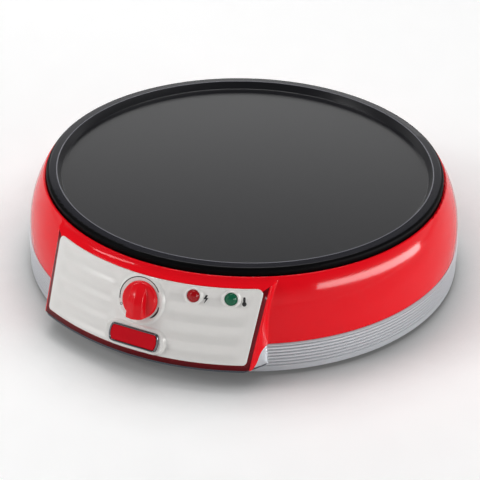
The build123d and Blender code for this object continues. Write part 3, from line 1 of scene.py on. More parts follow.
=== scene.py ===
import logging
from dataclasses import dataclass, replace
from enum import Enum
from math import cos, pi, radians, sin, sqrt, tan
from typing import Optional

import bmesh
import bpy
import numpy as np
from bpy.types import ID, Material, Mesh, Node, NodeSocket, NodeTree, Object
from mathutils import Matrix, Vector


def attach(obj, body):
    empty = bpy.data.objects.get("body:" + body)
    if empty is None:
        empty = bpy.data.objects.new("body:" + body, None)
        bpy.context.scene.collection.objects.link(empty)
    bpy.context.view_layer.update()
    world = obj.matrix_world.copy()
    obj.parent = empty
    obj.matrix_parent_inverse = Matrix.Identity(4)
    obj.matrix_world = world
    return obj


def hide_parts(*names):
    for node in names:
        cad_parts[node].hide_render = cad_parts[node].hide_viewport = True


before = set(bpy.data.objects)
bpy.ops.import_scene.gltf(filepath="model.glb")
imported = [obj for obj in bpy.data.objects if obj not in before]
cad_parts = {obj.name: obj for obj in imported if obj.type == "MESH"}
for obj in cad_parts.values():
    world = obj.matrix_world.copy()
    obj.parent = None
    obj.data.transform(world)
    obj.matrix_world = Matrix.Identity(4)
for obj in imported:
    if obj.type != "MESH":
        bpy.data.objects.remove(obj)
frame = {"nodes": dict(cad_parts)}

Array = np.ndarray
Pair = tuple[float, float]
Spot = tuple[float, float, float]
Frame = tuple[Array, Array, Array, Array]     # a plane's origin, across, upward and normal

# Sizes and positions are in millimetres, except where a comment says otherwise.
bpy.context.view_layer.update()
LOG = logging.getLogger("crepe_maker")
MM = 0.001                # metres in a millimetre
MERGE_MM = 0.002          # corners closer than this are one
TINY = 1e-12              # least length that anything is divided by
ROUND_CREASE_DEG = 50.0   # edges of round pieces stay sharp above this angle
METAL_SHARE = 0.5         # metallic share from which a finish keeps a metal's default index
WAVE_RATE = 20.0          # radians of the wave texture per unit of length and scale


# ---- colour and nodes ------------------------------------------------------------------------
def linear(code: str) -> tuple[float, float, float, float]:
    """Turns an sRGB hex colour into linear RGBA.

    Args:
        code: six hex digits.

    Returns:
        Red, green, blue and an alpha of 1, each channel as
        ((c + 0.055) / 1.055) ** 2.4 above 0.04045 and c / 12.92 below.
    """
    parts = [int(code[start:start + 2], 16) / 255.0 for start in (0, 2, 4)]
    red, green, blue = (c / 12.92 if c <= 0.04045 else ((c + 0.055) / 1.055) ** 2.4 for c in parts)
    return red, green, blue, 1.0


def add_node(tree: NodeTree, kind: str, inputs: Optional[dict] = None, **settings: object) -> Node:
    """Adds one shader node.

    Args:
        tree: the node tree that gets the node.
        kind: Blender's name of the node type after "ShaderNode".
        inputs: input name or index to its value or to the socket that feeds it.
        settings: attributes to set on the node.

    Returns:
        The new node.
    """
    node = tree.nodes.new("ShaderNode" + kind)
    for name, value in settings.items():
        setattr(node, name, value)
    for name, value in (inputs or {}).items():
        if isinstance(value, NodeSocket):
            tree.links.new(value, node.inputs[name])
        else:
            node.inputs[name].default_value = value
    return node


def bare_tree(owner: ID) -> NodeTree:
    """Turns on the nodes of a material or world and clears them."""
    owner.use_nodes = True
    owner.node_tree.nodes.clear()
    return owner.node_tree


class Pattern(Enum):
    """How a finish's small variation is laid out on the piece."""

    GRAIN = "grain"
    FLAKE = "flake"
    RINGS = "rings"


@dataclass(frozen=True)
class Finish:
    """One real material with the way its surface was made."""

    name: str                  # the material's name in the scene
    colour: str                # sRGB hex of the surface
    shade: str                 # sRGB hex that the pattern mixes in
    roughness: float
    rough_swing: float = 0.03  # how much the pattern moves the roughness
    metallic: float = 0.0
    ior: float = 1.5           # index of refraction
    specular: float = 0.5      # reflection at normal view, 0.5 being the index's own
    coat: float = 0.0          # weight of a clear coat
    coat_roughness: float = 0.05
    transmission: float = 0.0  # share of light that passes through
    pattern: Pattern = Pattern.GRAIN
    scale_mm: float = 2.0      # size of the pattern's features
    mix: float = 0.3           # how strongly the pattern shows in the colour
    bump_mm: float = 0.0       # height of the relief

    def build(self) -> Material:
        """Makes the material, or returns it if it was made before.

        Returns:
            A node material that reads Object coordinates only.
        """
        known = bpy.data.materials.get(self.name)
        if known:
            return known
        material = bpy.data.materials.new(self.name)
        tree = bare_tree(material)
        value = self._pattern_value(tree)
        colour = add_node(tree, "MixRGB", {"Fac": self._scaled(tree, value, 0.0, self.mix),
                                           "Color1": linear(self.colour), "Color2": linear(self.shade)})
        rough = self._scaled(tree, value, self.roughness - self.rough_swing,
                             self.roughness + self.rough_swing)
        shader = add_node(tree, "BsdfPrincipled", {
            "Base Color": colour.outputs[0], "Roughness": rough, "Metallic": self.metallic,
            "Coat Weight": self.coat, "Coat Roughness": self.coat_roughness,
            "Transmission Weight": self.transmission})
        if self.metallic < METAL_SHARE:
            shader.inputs["IOR"].default_value = self.ior
            shader.inputs["Specular IOR Level"].default_value = self.specular
        if self.bump_mm > 0:
            bump = add_node(tree, "Bump", {"Height": value, "Strength": 1.0,
                                           "Distance": self.bump_mm * MM})
            tree.links.new(bump.outputs[0], shader.inputs["Normal"])
        add_node(tree, "OutputMaterial", {"Surface": shader.outputs[0]})
        return material

    @staticmethod
    def _scaled(tree: NodeTree, value: NodeSocket, low: float, high: float) -> NodeSocket:
        """Maps a 0 to 1 pattern onto low to high."""
        return add_node(tree, "MapRange", {"Value": value, "To Min": low, "To Max": high}).outputs[0]

    def _pattern_value(self, tree: NodeTree) -> NodeSocket:
        """Builds the variation of this finish from Object coordinates.

        Args:
            tree: the material's node tree.

        Returns:
            The socket with the 0 to 1 variation: a cell's random colour for flakes, a wave
            round the z axis for rings and a cloudy noise for grain.
        """
        place = add_node(tree, "TexCoord").outputs["Object"]
        per_metre = 1.0 / (self.scale_mm * MM)
        if self.pattern is Pattern.FLAKE:
            cells = add_node(tree, "TexVoronoi", {"Vector": place, "Scale": per_metre})
            return add_node(tree, "SeparateColor", {"Color": cells.outputs["Color"]}).outputs[0]
        if self.pattern is Pattern.RINGS:
            wave = add_node(tree, "TexWave", {"Vector": place, "Scale": per_metre / WAVE_RATE,
                                              "Distortion": 1.0, "Detail": 2.0},
                            wave_type="RINGS", rings_direction="Z")
            return wave.outputs["Fac"]
        cloud = add_node(tree, "TexNoise", {"Vector": place, "Scale": per_metre, "Detail": 3.0,
                                            "Roughness": 0.55})
        return cloud.outputs["Fac"]


# ---- finishes --------------------------------------------------------------------------------
# Non-stick coating, sprayed and baked on cast aluminium: a dark satin with a faint speckle.
NON_STICK = Finish("non_stick_coating", "121216", "1a1a1f", 0.29, ior=1.38, scale_mm=0.9, mix=0.5,
                   bump_mm=0.015)
# The same coating on the rim's machined top, smoother; its greyer colour is painted light that brightens
# the rim.
NON_STICK_RIM_PAINTED_LIGHT = replace(NON_STICK, name="non_stick_rim_painted_light", colour="232328", shade="2a2a30",
                        roughness=0.18, rough_swing=0.02, specular=0.16, bump_mm=0.0)
# Painted shade on the rim's outward-facing wall: the coating made the deepest black of the plate, and
# dull.
NON_STICK_WALL_PAINTED_SHADE = replace(NON_STICK, name="non_stick_wall_painted_shade", colour="030304", shade="060607",
                         roughness=0.5, specular=0.1, bump_mm=0.0)
# Painted highlight: a thin light grey line on the rim's sharp inner edge, for the light that edge
# catches.
RIM_EDGE_PAINTED_HIGHLIGHT = replace(NON_STICK, name="rim_edge_painted_highlight", colour="66666e", shade="7a7a82",
                    roughness=0.22, bump_mm=0.0)
# Moulded ABS with a hard varnish: a deep wet red with hardly any relief.
RED_SHELL = Finish("red_gloss_abs", "ee0a1b", "e60918", 0.1, 0.01, specular=0.22, scale_mm=14.0, mix=0.4)
# The knob's moulded ABS without the varnish: the same red, a little softer in its highlights.
RED_KNOB = replace(RED_SHELL, name="red_knob_abs", colour="e60a1a", shade="d80917", roughness=0.17,
                   rough_swing=0.02, specular=0.35, scale_mm=6.0)
# Painted shade: the shell's red made dark on the lip round the fascia, for the shade where the lip turns
# under.
RED_LIP_PAINTED_SHADE = replace(RED_SHELL, name="red_abs_lip_painted_shade", colour="680611", shade="740712", roughness=0.16,
                  specular=0.2)
# Red enamel on the badge: deeper than the shell and less bright at a grazing look.
RED_ENAMEL = Finish("red_badge_enamel", "c8061a", "be0517", 0.2, 0.02, specular=0.12, scale_mm=4.0,
                    mix=0.4)
# Silver-grey lacquer on a moulded pan: metal flake in a clear binder, a cool sparkling satin.
# The flakes of all lacquers are drawn ten times their real size, so that they show.
SILVER_LACQUER = Finish("silver_lacquer", "dfe2e7", "e8eaee", 0.3, 0.02, metallic=0.5,
                        pattern=Pattern.FLAKE, scale_mm=0.35)
# Painted shade: the same lacquer made dark grey on the band's down-facing flanks and on the edge under
# the pod.
SILVER_PAINTED_SHADE = replace(SILVER_LACQUER, name="silver_lacquer_painted_shade", colour="40454d", shade="686d75",
                      roughness=0.4, metallic=0.3)
# Pearl-white lacquer on a moulded panel, with a clear coat: a bright satin with a soft sheen.
PEARL_LACQUER = Finish("pearl_lacquer", "e6e4e1", "eceae7", 0.4, 0.02, metallic=0.1,
                       pattern=Pattern.FLAKE, scale_mm=0.3, mix=0.4, coat=0.6, coat_roughness=0.25)
# Dark chrome plating: near black where it sees dark, sharp and bright where it sees a lamp.
CHROME = Finish("dark_chrome_plating", "77757a", "6c6a70", 0.09, 0.02, metallic=1.0, scale_mm=3.0)
# Tinted, moulded polycarbonate of the pilot lights: deep colour, clear only in its depth.
RED_LENS = Finish("red_polycarbonate", "a8030f", "99020c", 0.1, 0.02, ior=1.58, specular=0.3,
                  transmission=0.05)
GREEN_LENS = replace(RED_LENS, name="green_polycarbonate", colour="0a6243", shade="08563a")
# Pad-printed ink: a flat soft black.
DIAL_INK = Finish("black_dial_ink", "252527", "303032", 0.5, 0.04, scale_mm=0.6)
# Steel sheath of the heater, tinted by heat: brown-grey and cloudy.
ELEMENT_STEEL = Finish("heat_tinted_steel", "6f675c", "5a5248", 0.45, 0.08, metallic=1.0, scale_mm=5.0)
# Zinc-plated pressed sheet: pale, with broad dull clouds.
SHEET_STEEL = Finish("zinc_plated_sheet", "a9abad", "959799", 0.38, 0.08, metallic=1.0, scale_mm=6.0)
# Turned steel: bright, with fine rings from the tool.
TURNED_STEEL = Finish("turned_steel", "b4b4b6", "9d9d9f", 0.3, 0.06, metallic=1.0,
                      pattern=Pattern.RINGS, scale_mm=0.4)
# Drawn copper tube, slightly dulled: warm and smooth.
COPPER = Finish("drawn_copper", "b87350", "a5623f", 0.3, 0.06, metallic=1.0)
# Woven glass-fibre sleeve: a matt cream with a speckled weave.
GLASS_SLEEVE = Finish("woven_glass_sleeve", "cfcabb", "bdb7a6", 0.85, 0.05, pattern=Pattern.FLAKE,
                      scale_mm=0.8)
# Moulded phenolic resin: a dull brown-black.
PHENOLIC = Finish("dark_phenolic", "2c2320", "3a2e29", 0.5, 0.05, scale_mm=1.2, mix=0.5)
# Moulded polyamide: a warm cream with a soft shine.
POLYAMIDE = Finish("cream_polyamide", "d6d0bd", "c9c2ad", 0.5, 0.05, scale_mm=2.5)
# Moulded rubber: a matt black with a very slight grain.
BLACK_RUBBER = Finish("black_rubber", "1b1b1c", "242425", 0.7, 0.06, scale_mm=0.8, mix=0.5, bump_mm=0.01)

FINISHED_WITH: dict[Finish, tuple[str, ...]] = {
    NON_STICK: ("cooking_plate",),
    RED_SHELL: ("upper_housing",),
    SILVER_LACQUER: ("base_housing",),
    PEARL_LACQUER: ("fascia_panel",),
    RED_KNOB: ("control_knob",),
    CHROME: ("badge_frame",),
    RED_ENAMEL: ("badge_plate",),
    RED_LENS: ("power_lens",),
    GREEN_LENS: ("ready_lens",),
    ELEMENT_STEEL: ("heating_element",),
    SHEET_STEEL: ("heat_shield", "element_clips", "sensor_clips", "thermostat_bracket"),
    TURNED_STEEL: ("plate_spacers", "plate_screws", "base_screws", "fascia_screws",
                   "thermostat_screws", "thermostat_spindle"),
    COPPER: ("capillary_sensor",),
    GLASS_SLEEVE: ("thermal_fuse",),
    PHENOLIC: ("thermostat_body",),
    POLYAMIDE: ("power_lamp", "ready_lamp", "terminal_block"),
    BLACK_RUBBER: ("cord_gland", "foot_front_left", "foot_front_right", "foot_rear_left",
                   "foot_rear_right"),
}
NODE_FINISH = {node: finish for finish, nodes in FINISHED_WITH.items() for node in nodes}


# ---- surfaces --------------------------------------------------------------------------------
def smooth_step(value: Array, low: float, high: float) -> Array:
    """Rises from 0 at low to 1 at high as 3t^2 - 2t^3, where t is the share of the way."""
    t = np.clip((value - low) / (high - low), 0.0, 1.0)
    return t * t * (3.0 - 2.0 * t)


def half_round(width: float, low: float, top: float, steps: int) -> tuple[Array, Array]:
    """Half ellipse from its outer foot over its top: -w/2 (1 - cos t) and low + (top - low) sin t."""
    turn = np.linspace(0.0, pi, steps)
    return -0.5 * width * (1.0 - np.cos(turn)), low + (top - low) * np.sin(turn)


def compass(steps: int) -> Array:
    """Unit vectors at even angles, anticlockwise from the first axis, one row each."""
    turn = np.linspace(0.0, 2 * pi, steps, endpoint=False)
    return np.stack([np.cos(turn), np.sin(turn)], axis=-1)


def on_plane(base: Frame, flat: Array, high: Array) -> Array:
    """Places at offsets (a, b) in a plane and heights h above it: origin + a u + b v + h n."""
    origin, across, upward, normal = base
    return origin + flat[..., :1] * across + flat[..., 1:] * upward + high[..., None] * normal


def face_normals(corners: Array) -> tuple[Array, Array]:
    """Unit normals of triangles.

    Args:
        corners: corner positions, faces by three by three.

    Returns:
        The cross product of the sides at each first corner over its length, and that
        length, which is twice the area.
    """
    normal = np.cross(corners[:, 1] - corners[:, 0], corners[:, 2] - corners[:, 0])
    length = np.linalg.norm(normal, axis=1)
    return normal / np.maximum(length[:, None], TINY), length


def grid_quads(rows: int, cols: int) -> Array:
    """Faces of a grid of corners, each of four neighbouring ones.

    Args:
        rows: corners along the first parameter.
        cols: corners along the second parameter.

    Returns:
        One row of four corner numbers per face, counter-clockwise when the second
        parameter runs right and the first one up.
    """
    numbers = np.arange(rows * cols).reshape(rows, cols)
    quads = np.stack([numbers[:-1, :-1], numbers[:-1, 1:], numbers[1:, 1:], numbers[1:, :-1]], axis=-1)
    return quads.reshape(-1, 4)


def rim_numbers(rows: int, cols: int) -> Array:
    """Corner numbers round a grid's edge, counter-clockwise from its first corner."""
    numbers = np.arange(rows * cols).reshape(rows, cols)
    return np.concatenate([numbers[0, :-1], numbers[:-1, -1], numbers[-1, :0:-1], numbers[:0:-1, 0]])


def put_object(name: str, data: ID) -> Object:
    """Makes an object of some data and links it into the scene."""
    made = bpy.data.objects.new(name, data)
    bpy.context.scene.collection.objects.link(made)
    return made


def put_mesh(name: str, corners: Array, faces: list, finish: Finish, body: str,
             crease_deg: Optional[float] = None) -> Object:
    """Makes one finished piece from corners and faces and lets it ride on a body.

    Args:
        name: name of the piece.
        corners: corner positions, one row each; those that touch are joined.
        faces: lists of corner numbers.
        finish: its finish.
        body: the body it moves with.
        crease_deg: if given, edges above this angle stay sharp and the rest shades evenly.

    Returns:
        The object, at the origin.
    """
    mesh = bpy.data.meshes.new(name)
    mesh.from_pydata((corners * MM).tolist(), [], faces)
    work = bmesh.new()
    work.from_mesh(mesh)
    bmesh.ops.remove_doubles(work, verts=work.verts, dist=MERGE_MM * MM)
    bmesh.ops.dissolve_degenerate(work, edges=work.edges, dist=MERGE_MM * MM)
    work.to_mesh(mesh)
    work.free()
    mesh.polygons.foreach_set("use_smooth", np.ones(len(mesh.polygons), dtype=bool))
    mesh.materials.append(finish.build())
    piece = put_object(name, mesh)
    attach(piece, body)
    if crease_deg is not None:
        split = piece.modifiers.new("crisp_creases", "EDGE_SPLIT")
        split.split_angle = radians(crease_deg)
        even = piece.modifiers.new("even_shading", "WEIGHTED_NORMAL")
        even.keep_sharp = True
    LOG.info("%s: %d faces, %s", name, len(mesh.polygons), finish.name)
    return piece


def slab(name: str, front: Array, back: Array, finish: Finish,
         crease_deg: Optional[float] = None) -> Object:
    """Closes the space between two grids of the same layout.

    The front grid, the back grid turned over and a strip round their edges make one
    closed surface. Faces where the two grids touch at all four corners are left out on
    both, which leaves an open hole with its wall.

    Args:
        name: name of the piece.
        front: corners of the outer grid, rows by columns by three.
        back: corners of the inner grid.
        finish: its finish.
        crease_deg: as for put_mesh.

    Returns:
        The piece, on the body that stands still.
    """
    rows, cols = front.shape[:2]
    count = rows * cols
    corners = np.concatenate([front.reshape(-1, 3), back.reshape(-1, 3)])
    thick = np.linalg.norm(front - back, axis=2).reshape(-1) > MERGE_MM
    outer = grid_quads(rows, cols)
    solid = thick[outer].any(axis=1)
    inner = outer[solid][:, ::-1] + count
    rim = rim_numbers(rows, cols)
    after = np.roll(rim, -1)
    wall = np.stack([rim, rim + count, after + count, after], axis=-1)
    faces = np.concatenate([outer[solid], inner, wall]).tolist()
    return put_mesh(name, corners, faces, finish, "body", crease_deg)


def carry(name: str, line: Array, outward: Array, off: Array, high: Array, base: Frame,
          finish: Finish, instead_of: str = "") -> Object:
    """Carries a profile along a closed flat path.

    Args:
        name: name of the new piece.
        line: path points across and up the base plane, anticlockwise.
        outward: unit vectors out of the path.
        off: profile offsets along those vectors.
        high: profile heights above the base plane, starting and ending low.
        base: the base plane.
        finish: its finish.
        instead_of: the frame node it stands for, if any.

    Returns:
        The piece, closed all round, on the body that stands still.
    """
    spots = on_plane(base, line[:, None, :] + outward[:, None, :] * off[None, :, None], high[None, :])
    numbers = np.arange(line.shape[0] * off.size).reshape(-1, off.size)
    ahead = np.roll(numbers, -1, axis=0)
    beside = np.roll(numbers, -1, axis=1)
    quads = np.stack([numbers, ahead, np.roll(ahead, -1, axis=1), beside], axis=-1).reshape(-1, 4)
    piece = put_mesh(name, spots.reshape(-1, 3), quads.tolist(), finish, "body", ROUND_CREASE_DEG)
    if instead_of:
        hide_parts(instead_of)
    return piece


@dataclass(frozen=True)
class FaceCone:
    """The leaning cone that the pod's face and the fascia lie on.

    A place on it is (x, s): x across the object and s up the slope from the lower edge.
    """

    bottom_r: float = 179.2   # radius at s = 0
    bottom_z: float = 18.9    # height at s = 0
    lean_deg: float = 22.56   # how far the face leans back
    length: float = 53.2      # slope length of the face
    half_width: float = 77.9  # half width of the fascia's lower edge
    toe_deg: float = 10.8     # spread of its sides towards the drum
    draft_deg: float = 3.3    # how its sides close in towards the top
    rounds: int = 5           # substitutions that settle its half width

    def radius(self, s: Array) -> Array:
        """Cone radius: bottom radius less s times the lean's sine."""
        return self.bottom_r - s * sin(radians(self.lean_deg))

    def place(self, x: Array, s: Array, lift: Array) -> Array:
        """Point at (x, s), raised along the cone's normal.

        Args:
            x: offset across the object.
            s: slope length from the lower edge.
            lift: height above the cone.

        Returns:
            (r sin a, -r cos a, z) with a = asin(x / radius), r = radius + lift cos(lean)
            and z = bottom_z + s cos(lean) + lift sin(lean), one row of three per point.
        """
        lean = radians(self.lean_deg)
        base = self.radius(s)
        turn = np.arcsin(x / base)
        reach = base + lift * cos(lean)
        height = self.bottom_z + s * cos(lean) + lift * sin(lean)
        return np.stack([reach * np.sin(turn), -reach * np.cos(turn), height + 0.0 * x], axis=-1)

    def slope(self, spots: Array) -> tuple[Array, Array]:
        """Slope length and height above the cone of positions.

        Args:
            spots: positions, one row each.

        Returns:
            h cos(lean) - d sin(lean) and d cos(lean) + h sin(lean), where d and h are how
            far a position lies beyond the bottom radius and above the bottom height.
        """
        lean = radians(self.lean_deg)
        beyond = np.hypot(spots[:, 0], spots[:, 1]) - self.bottom_r
        rise = spots[:, 2] - self.bottom_z
        return cos(lean) * rise - sin(lean) * beyond, cos(lean) * beyond + sin(lean) * rise

    def half_at(self, s: Array) -> Array:
        """Half width where the cone meets the toed and drafted side planes.

        Args:
            s: slope lengths.

        Returns:
            x = half_width + tan(toe) (y - y0) - tan(draft) (z - bottom_z), where
            y = -sqrt(radius^2 - x^2) is put in again until it has settled.
        """
        y0 = -sqrt(self.bottom_r ** 2 - self.half_width ** 2)
        fall = tan(radians(self.draft_deg)) * s * cos(radians(self.lean_deg))
        x = np.full_like(s, self.half_width)
        for _ in range(self.rounds):
            y = -np.sqrt(self.radius(s) ** 2 - x ** 2)
            x = self.half_width + tan(radians(self.toe_deg)) * (y - y0) - fall
        return x

    def frame_at(self, x: float, s: float) -> Frame:
        """Tangent frame of a place.

        Args:
            x: offset across the object.
            s: slope length.

        Returns:
            Its origin and the directions across, up the slope and outward.
        """
        lean = radians(self.lean_deg)
        turn = float(np.arcsin(x / self.radius(np.array(s))))
        out = np.array([sin(turn), -cos(turn), 0.0])
        across = np.array([cos(turn), sin(turn), 0.0])
        normal = out * cos(lean) + np.array([0.0, 0.0, sin(lean)])
        upward = -out * sin(lean) + np.array([0.0, 0.0, cos(lean)])
        return self.place(np.array(x), np.array(s), np.array(0.0)), across, upward, normal

    def plane_lift(self, x: Array, s: Array, at: Pair, height: float) -> Array:
        """Lift that puts points on a plane parallel to the face at one place.

        Args:
            x: offsets across the object.
            s: slope lengths.
            at: the place.
            height: height of the plane above it.

        Returns:
            ((C + m height - P) . m) / (n . m), with P the point on the cone, n its normal,
            C the place and m the normal there.
        """
        origin, _, _, middle = self.frame_at(*at)
        low = self.place(x, s, np.zeros_like(x))
        normal = self.place(x, s, np.ones_like(x)) - low
        return ((origin + middle * height - low) @ middle) / (normal @ middle)

    def local(self, x: Array, s: Array, at: Pair) -> tuple[Array, Array]:
        """Offsets across and up the slope from one place, in its tangent plane."""
        origin, across, upward, _ = self.frame_at(*at)
        away = self.place(x, s, np.zeros_like(x)) - origin
        return away @ across, away @ upward

    def apart(self, x: Array, s: Array, at: Pair) -> Array:
        """Distance from one place, in its tangent plane."""
        return np.hypot(*self.local(x, s, at))


# ---- dressing the frame's own solids ---------------------------------------------------------
@dataclass(frozen=True)
class DrumWall:
    """The drum's turned outer wall and its rounded crest."""

    radius: float = 163.8     # radius of its upright part
    curve_z: float = 32.0     # height where it starts to curve in
    curve_r: float = 78.0     # radius of that curve
    crest_r: float = 151.48   # distance of the crest's round from the axis
    crest_z: float = 71.8     # height of the middle of that round
    crest_round: float = 1.2  # radius of the crest's round
    crest_reach: float = 2.0  # corners this near the middle's height belong to the crest
    slack: float = 0.03       # how far a corner may lie off the surface
    wall_turn: float = 0.97   # least cosine between a face and the true normal
    crest_turn: float = 0.8   # the same on the crest, whose facets are coarse

    def normals(self, spots: Array) -> tuple[Array, Array]:
        """True normals of the corners that lie on the wall or the crest.

        Args:
            spots: positions, one row each.

        Returns:
            Which rows lie on it, and a normal for each row. On the wall the normal rises by
            b, with sin b = (z - curve_z) / curve_r; on the crest it points away from the
            round's middle.
        """
        r = np.hypot(spots[:, 0], spots[:, 1])
        rise = np.clip(spots[:, 2] - self.curve_z, 0.0, self.curve_r) / self.curve_r
        level = np.sqrt(1.0 - rise ** 2)
        on_wall = np.abs(r - self.radius + self.curve_r * (1.0 - level)) < self.slack
        off_r, off_z = r - self.crest_r, spots[:, 2] - self.crest_z
        away = np.hypot(off_r, off_z)
        on_crest = (np.abs(away - self.crest_round) < self.slack) & ~on_wall
        away = np.where(on_crest, away, 1.0)
        outward = np.where(on_crest, off_r / away, level)
        upward = np.where(on_crest, off_z / away, rise)
        flat = spots[:, :2] / r[:, None] * outward[:, None]
        return on_wall | on_crest, np.concatenate([flat, upward[:, None]], axis=1)

    def shade(self, corners: Array, normals: Array) -> Array:
        """Puts the true normals where a face lies on the wall.

        Args:
            corners: faces by three by three.
            normals: their shading normals, one row per corner.

        Returns:
            The normals, the true one wherever the corner is on the wall or the crest and
            its face is turned no further from it than the least cosine allows.
        """
        spots = corners.reshape(-1, 3)
        known, true = self.normals(spots)
        agrees = (np.repeat(face_normals(corners)[0], 3, axis=0) * true).sum(axis=1)
        near_crest = np.abs(spots[:, 2] - self.crest_z) < self.crest_reach
        least = np.where(near_crest, self.crest_turn, self.wall_turn)
        return np.where((known & (agrees > least))[:, None], true, normals)


@dataclass(frozen=True)
class PodLip:
    """The pod's lip round the fascia, shaded as a roll that turns under."""

    cone: FaceCone = FaceCone()
    slack: float = 0.07        # how far a corner may lie off the cone
    low_s: float = -3.6        # slope length of the lip's lower edge
    low_slack: float = 0.1     # how far below that edge a corner may lie
    high_s: float = 53.0       # slope length up to which a corner belongs to it
    face_high_s: float = 52.0  # the same for a face's middle
    reach_x: float = 84.0      # offset up to which a corner belongs to it
    side_x: float = 80.1       # offset beyond which a corner lies on the side edges
    beside_x: float = 77.9     # offset beyond which a face lies beside the fascia
    under_s: float = 0.05      # slope length below which a corner lies under the fascia
    face_under_s: float = 0.2  # the same for a face's middle
    facing: float = 0.6        # least cosine between its shading and the cone's normal
    inner_deg: float = 24.0    # tilt of the lower lip along the fascia
    outer_deg: float = 72.0    # tilt of the lower lip along its edge
    side_deg: float = 50.0     # tilt of the side edges

    def faces(self, corners: Array) -> Array:
        """Finds the faces of the lip below and beside the fascia, which get the painted shade.

        Args:
            corners: faces by three by three.

        Returns:
            True for each such face.
        """
        up_s, off = (part.reshape(-1, 3) for part in self.cone.slope(corners.reshape(-1, 3)))
        middle_s = up_s.mean(axis=1)
        flat = (np.abs(off) < self.slack).all(axis=1) & (corners[:, :, 1] < 0).all(axis=1)
        flat &= (up_s.min(axis=1) > self.low_s - self.low_slack) & (middle_s < self.face_high_s)
        beside = np.abs(corners[:, :, 0]).mean(axis=1) > self.beside_x
        return flat & (beside | (middle_s < self.face_under_s))

    def shade(self, corners: Array, normals: Array) -> Array:
        """Tilts the shading normals on the lip.

        Args:
            corners: faces by three by three.
            normals: their shading normals, one row per corner.

        Returns:
            The normals, where on the lip n cos t + e sin t with n the cone's normal, t the
            tilt and e down the slope on the lower lip or outward on the side edges.
        """
        spots = corners.reshape(-1, 3)
        lean, swing = radians(self.cone.lean_deg), radians(self.side_deg)
        r = np.hypot(spots[:, 0], spots[:, 1])
        wide = np.abs(spots[:, 0])
        up_s, off = self.cone.slope(spots)
        on_face = (np.abs(off) < self.slack) & (spots[:, 1] < 0) & (wide < self.reach_x)
        on_face &= (up_s > self.low_s - self.low_slack) & (up_s < self.high_s)
        out = np.stack([spots[:, 0] / r, spots[:, 1] / r, 0.0 * r], axis=-1)
        high = np.array([0.0, 0.0, 1.0])
        normal = out * cos(lean) + high * sin(lean)
        down = out * sin(lean) - high * cos(lean)
        side = np.sign(spots[:, :1]) * np.array([[1.0, 0.0, 0.0]])
        share = np.clip(up_s / self.low_s, 0.0, 1.0)
        tilt = np.radians(self.inner_deg + (self.outer_deg - self.inner_deg) * share)[:, None]
        under = normal * np.cos(tilt) + down * np.sin(tilt)
        beside = normal * cos(swing) + side * sin(swing)
        beside /= np.linalg.norm(beside, axis=1, keepdims=True)
        is_under = on_face & (up_s < self.under_s) & ((normals * normal).sum(axis=1) > self.facing)
        is_side = on_face & ~is_under & (wide > self.side_x)
        normals = np.where(is_side[:, None], beside, normals)
        return np.where(is_under[:, None], under, normals)


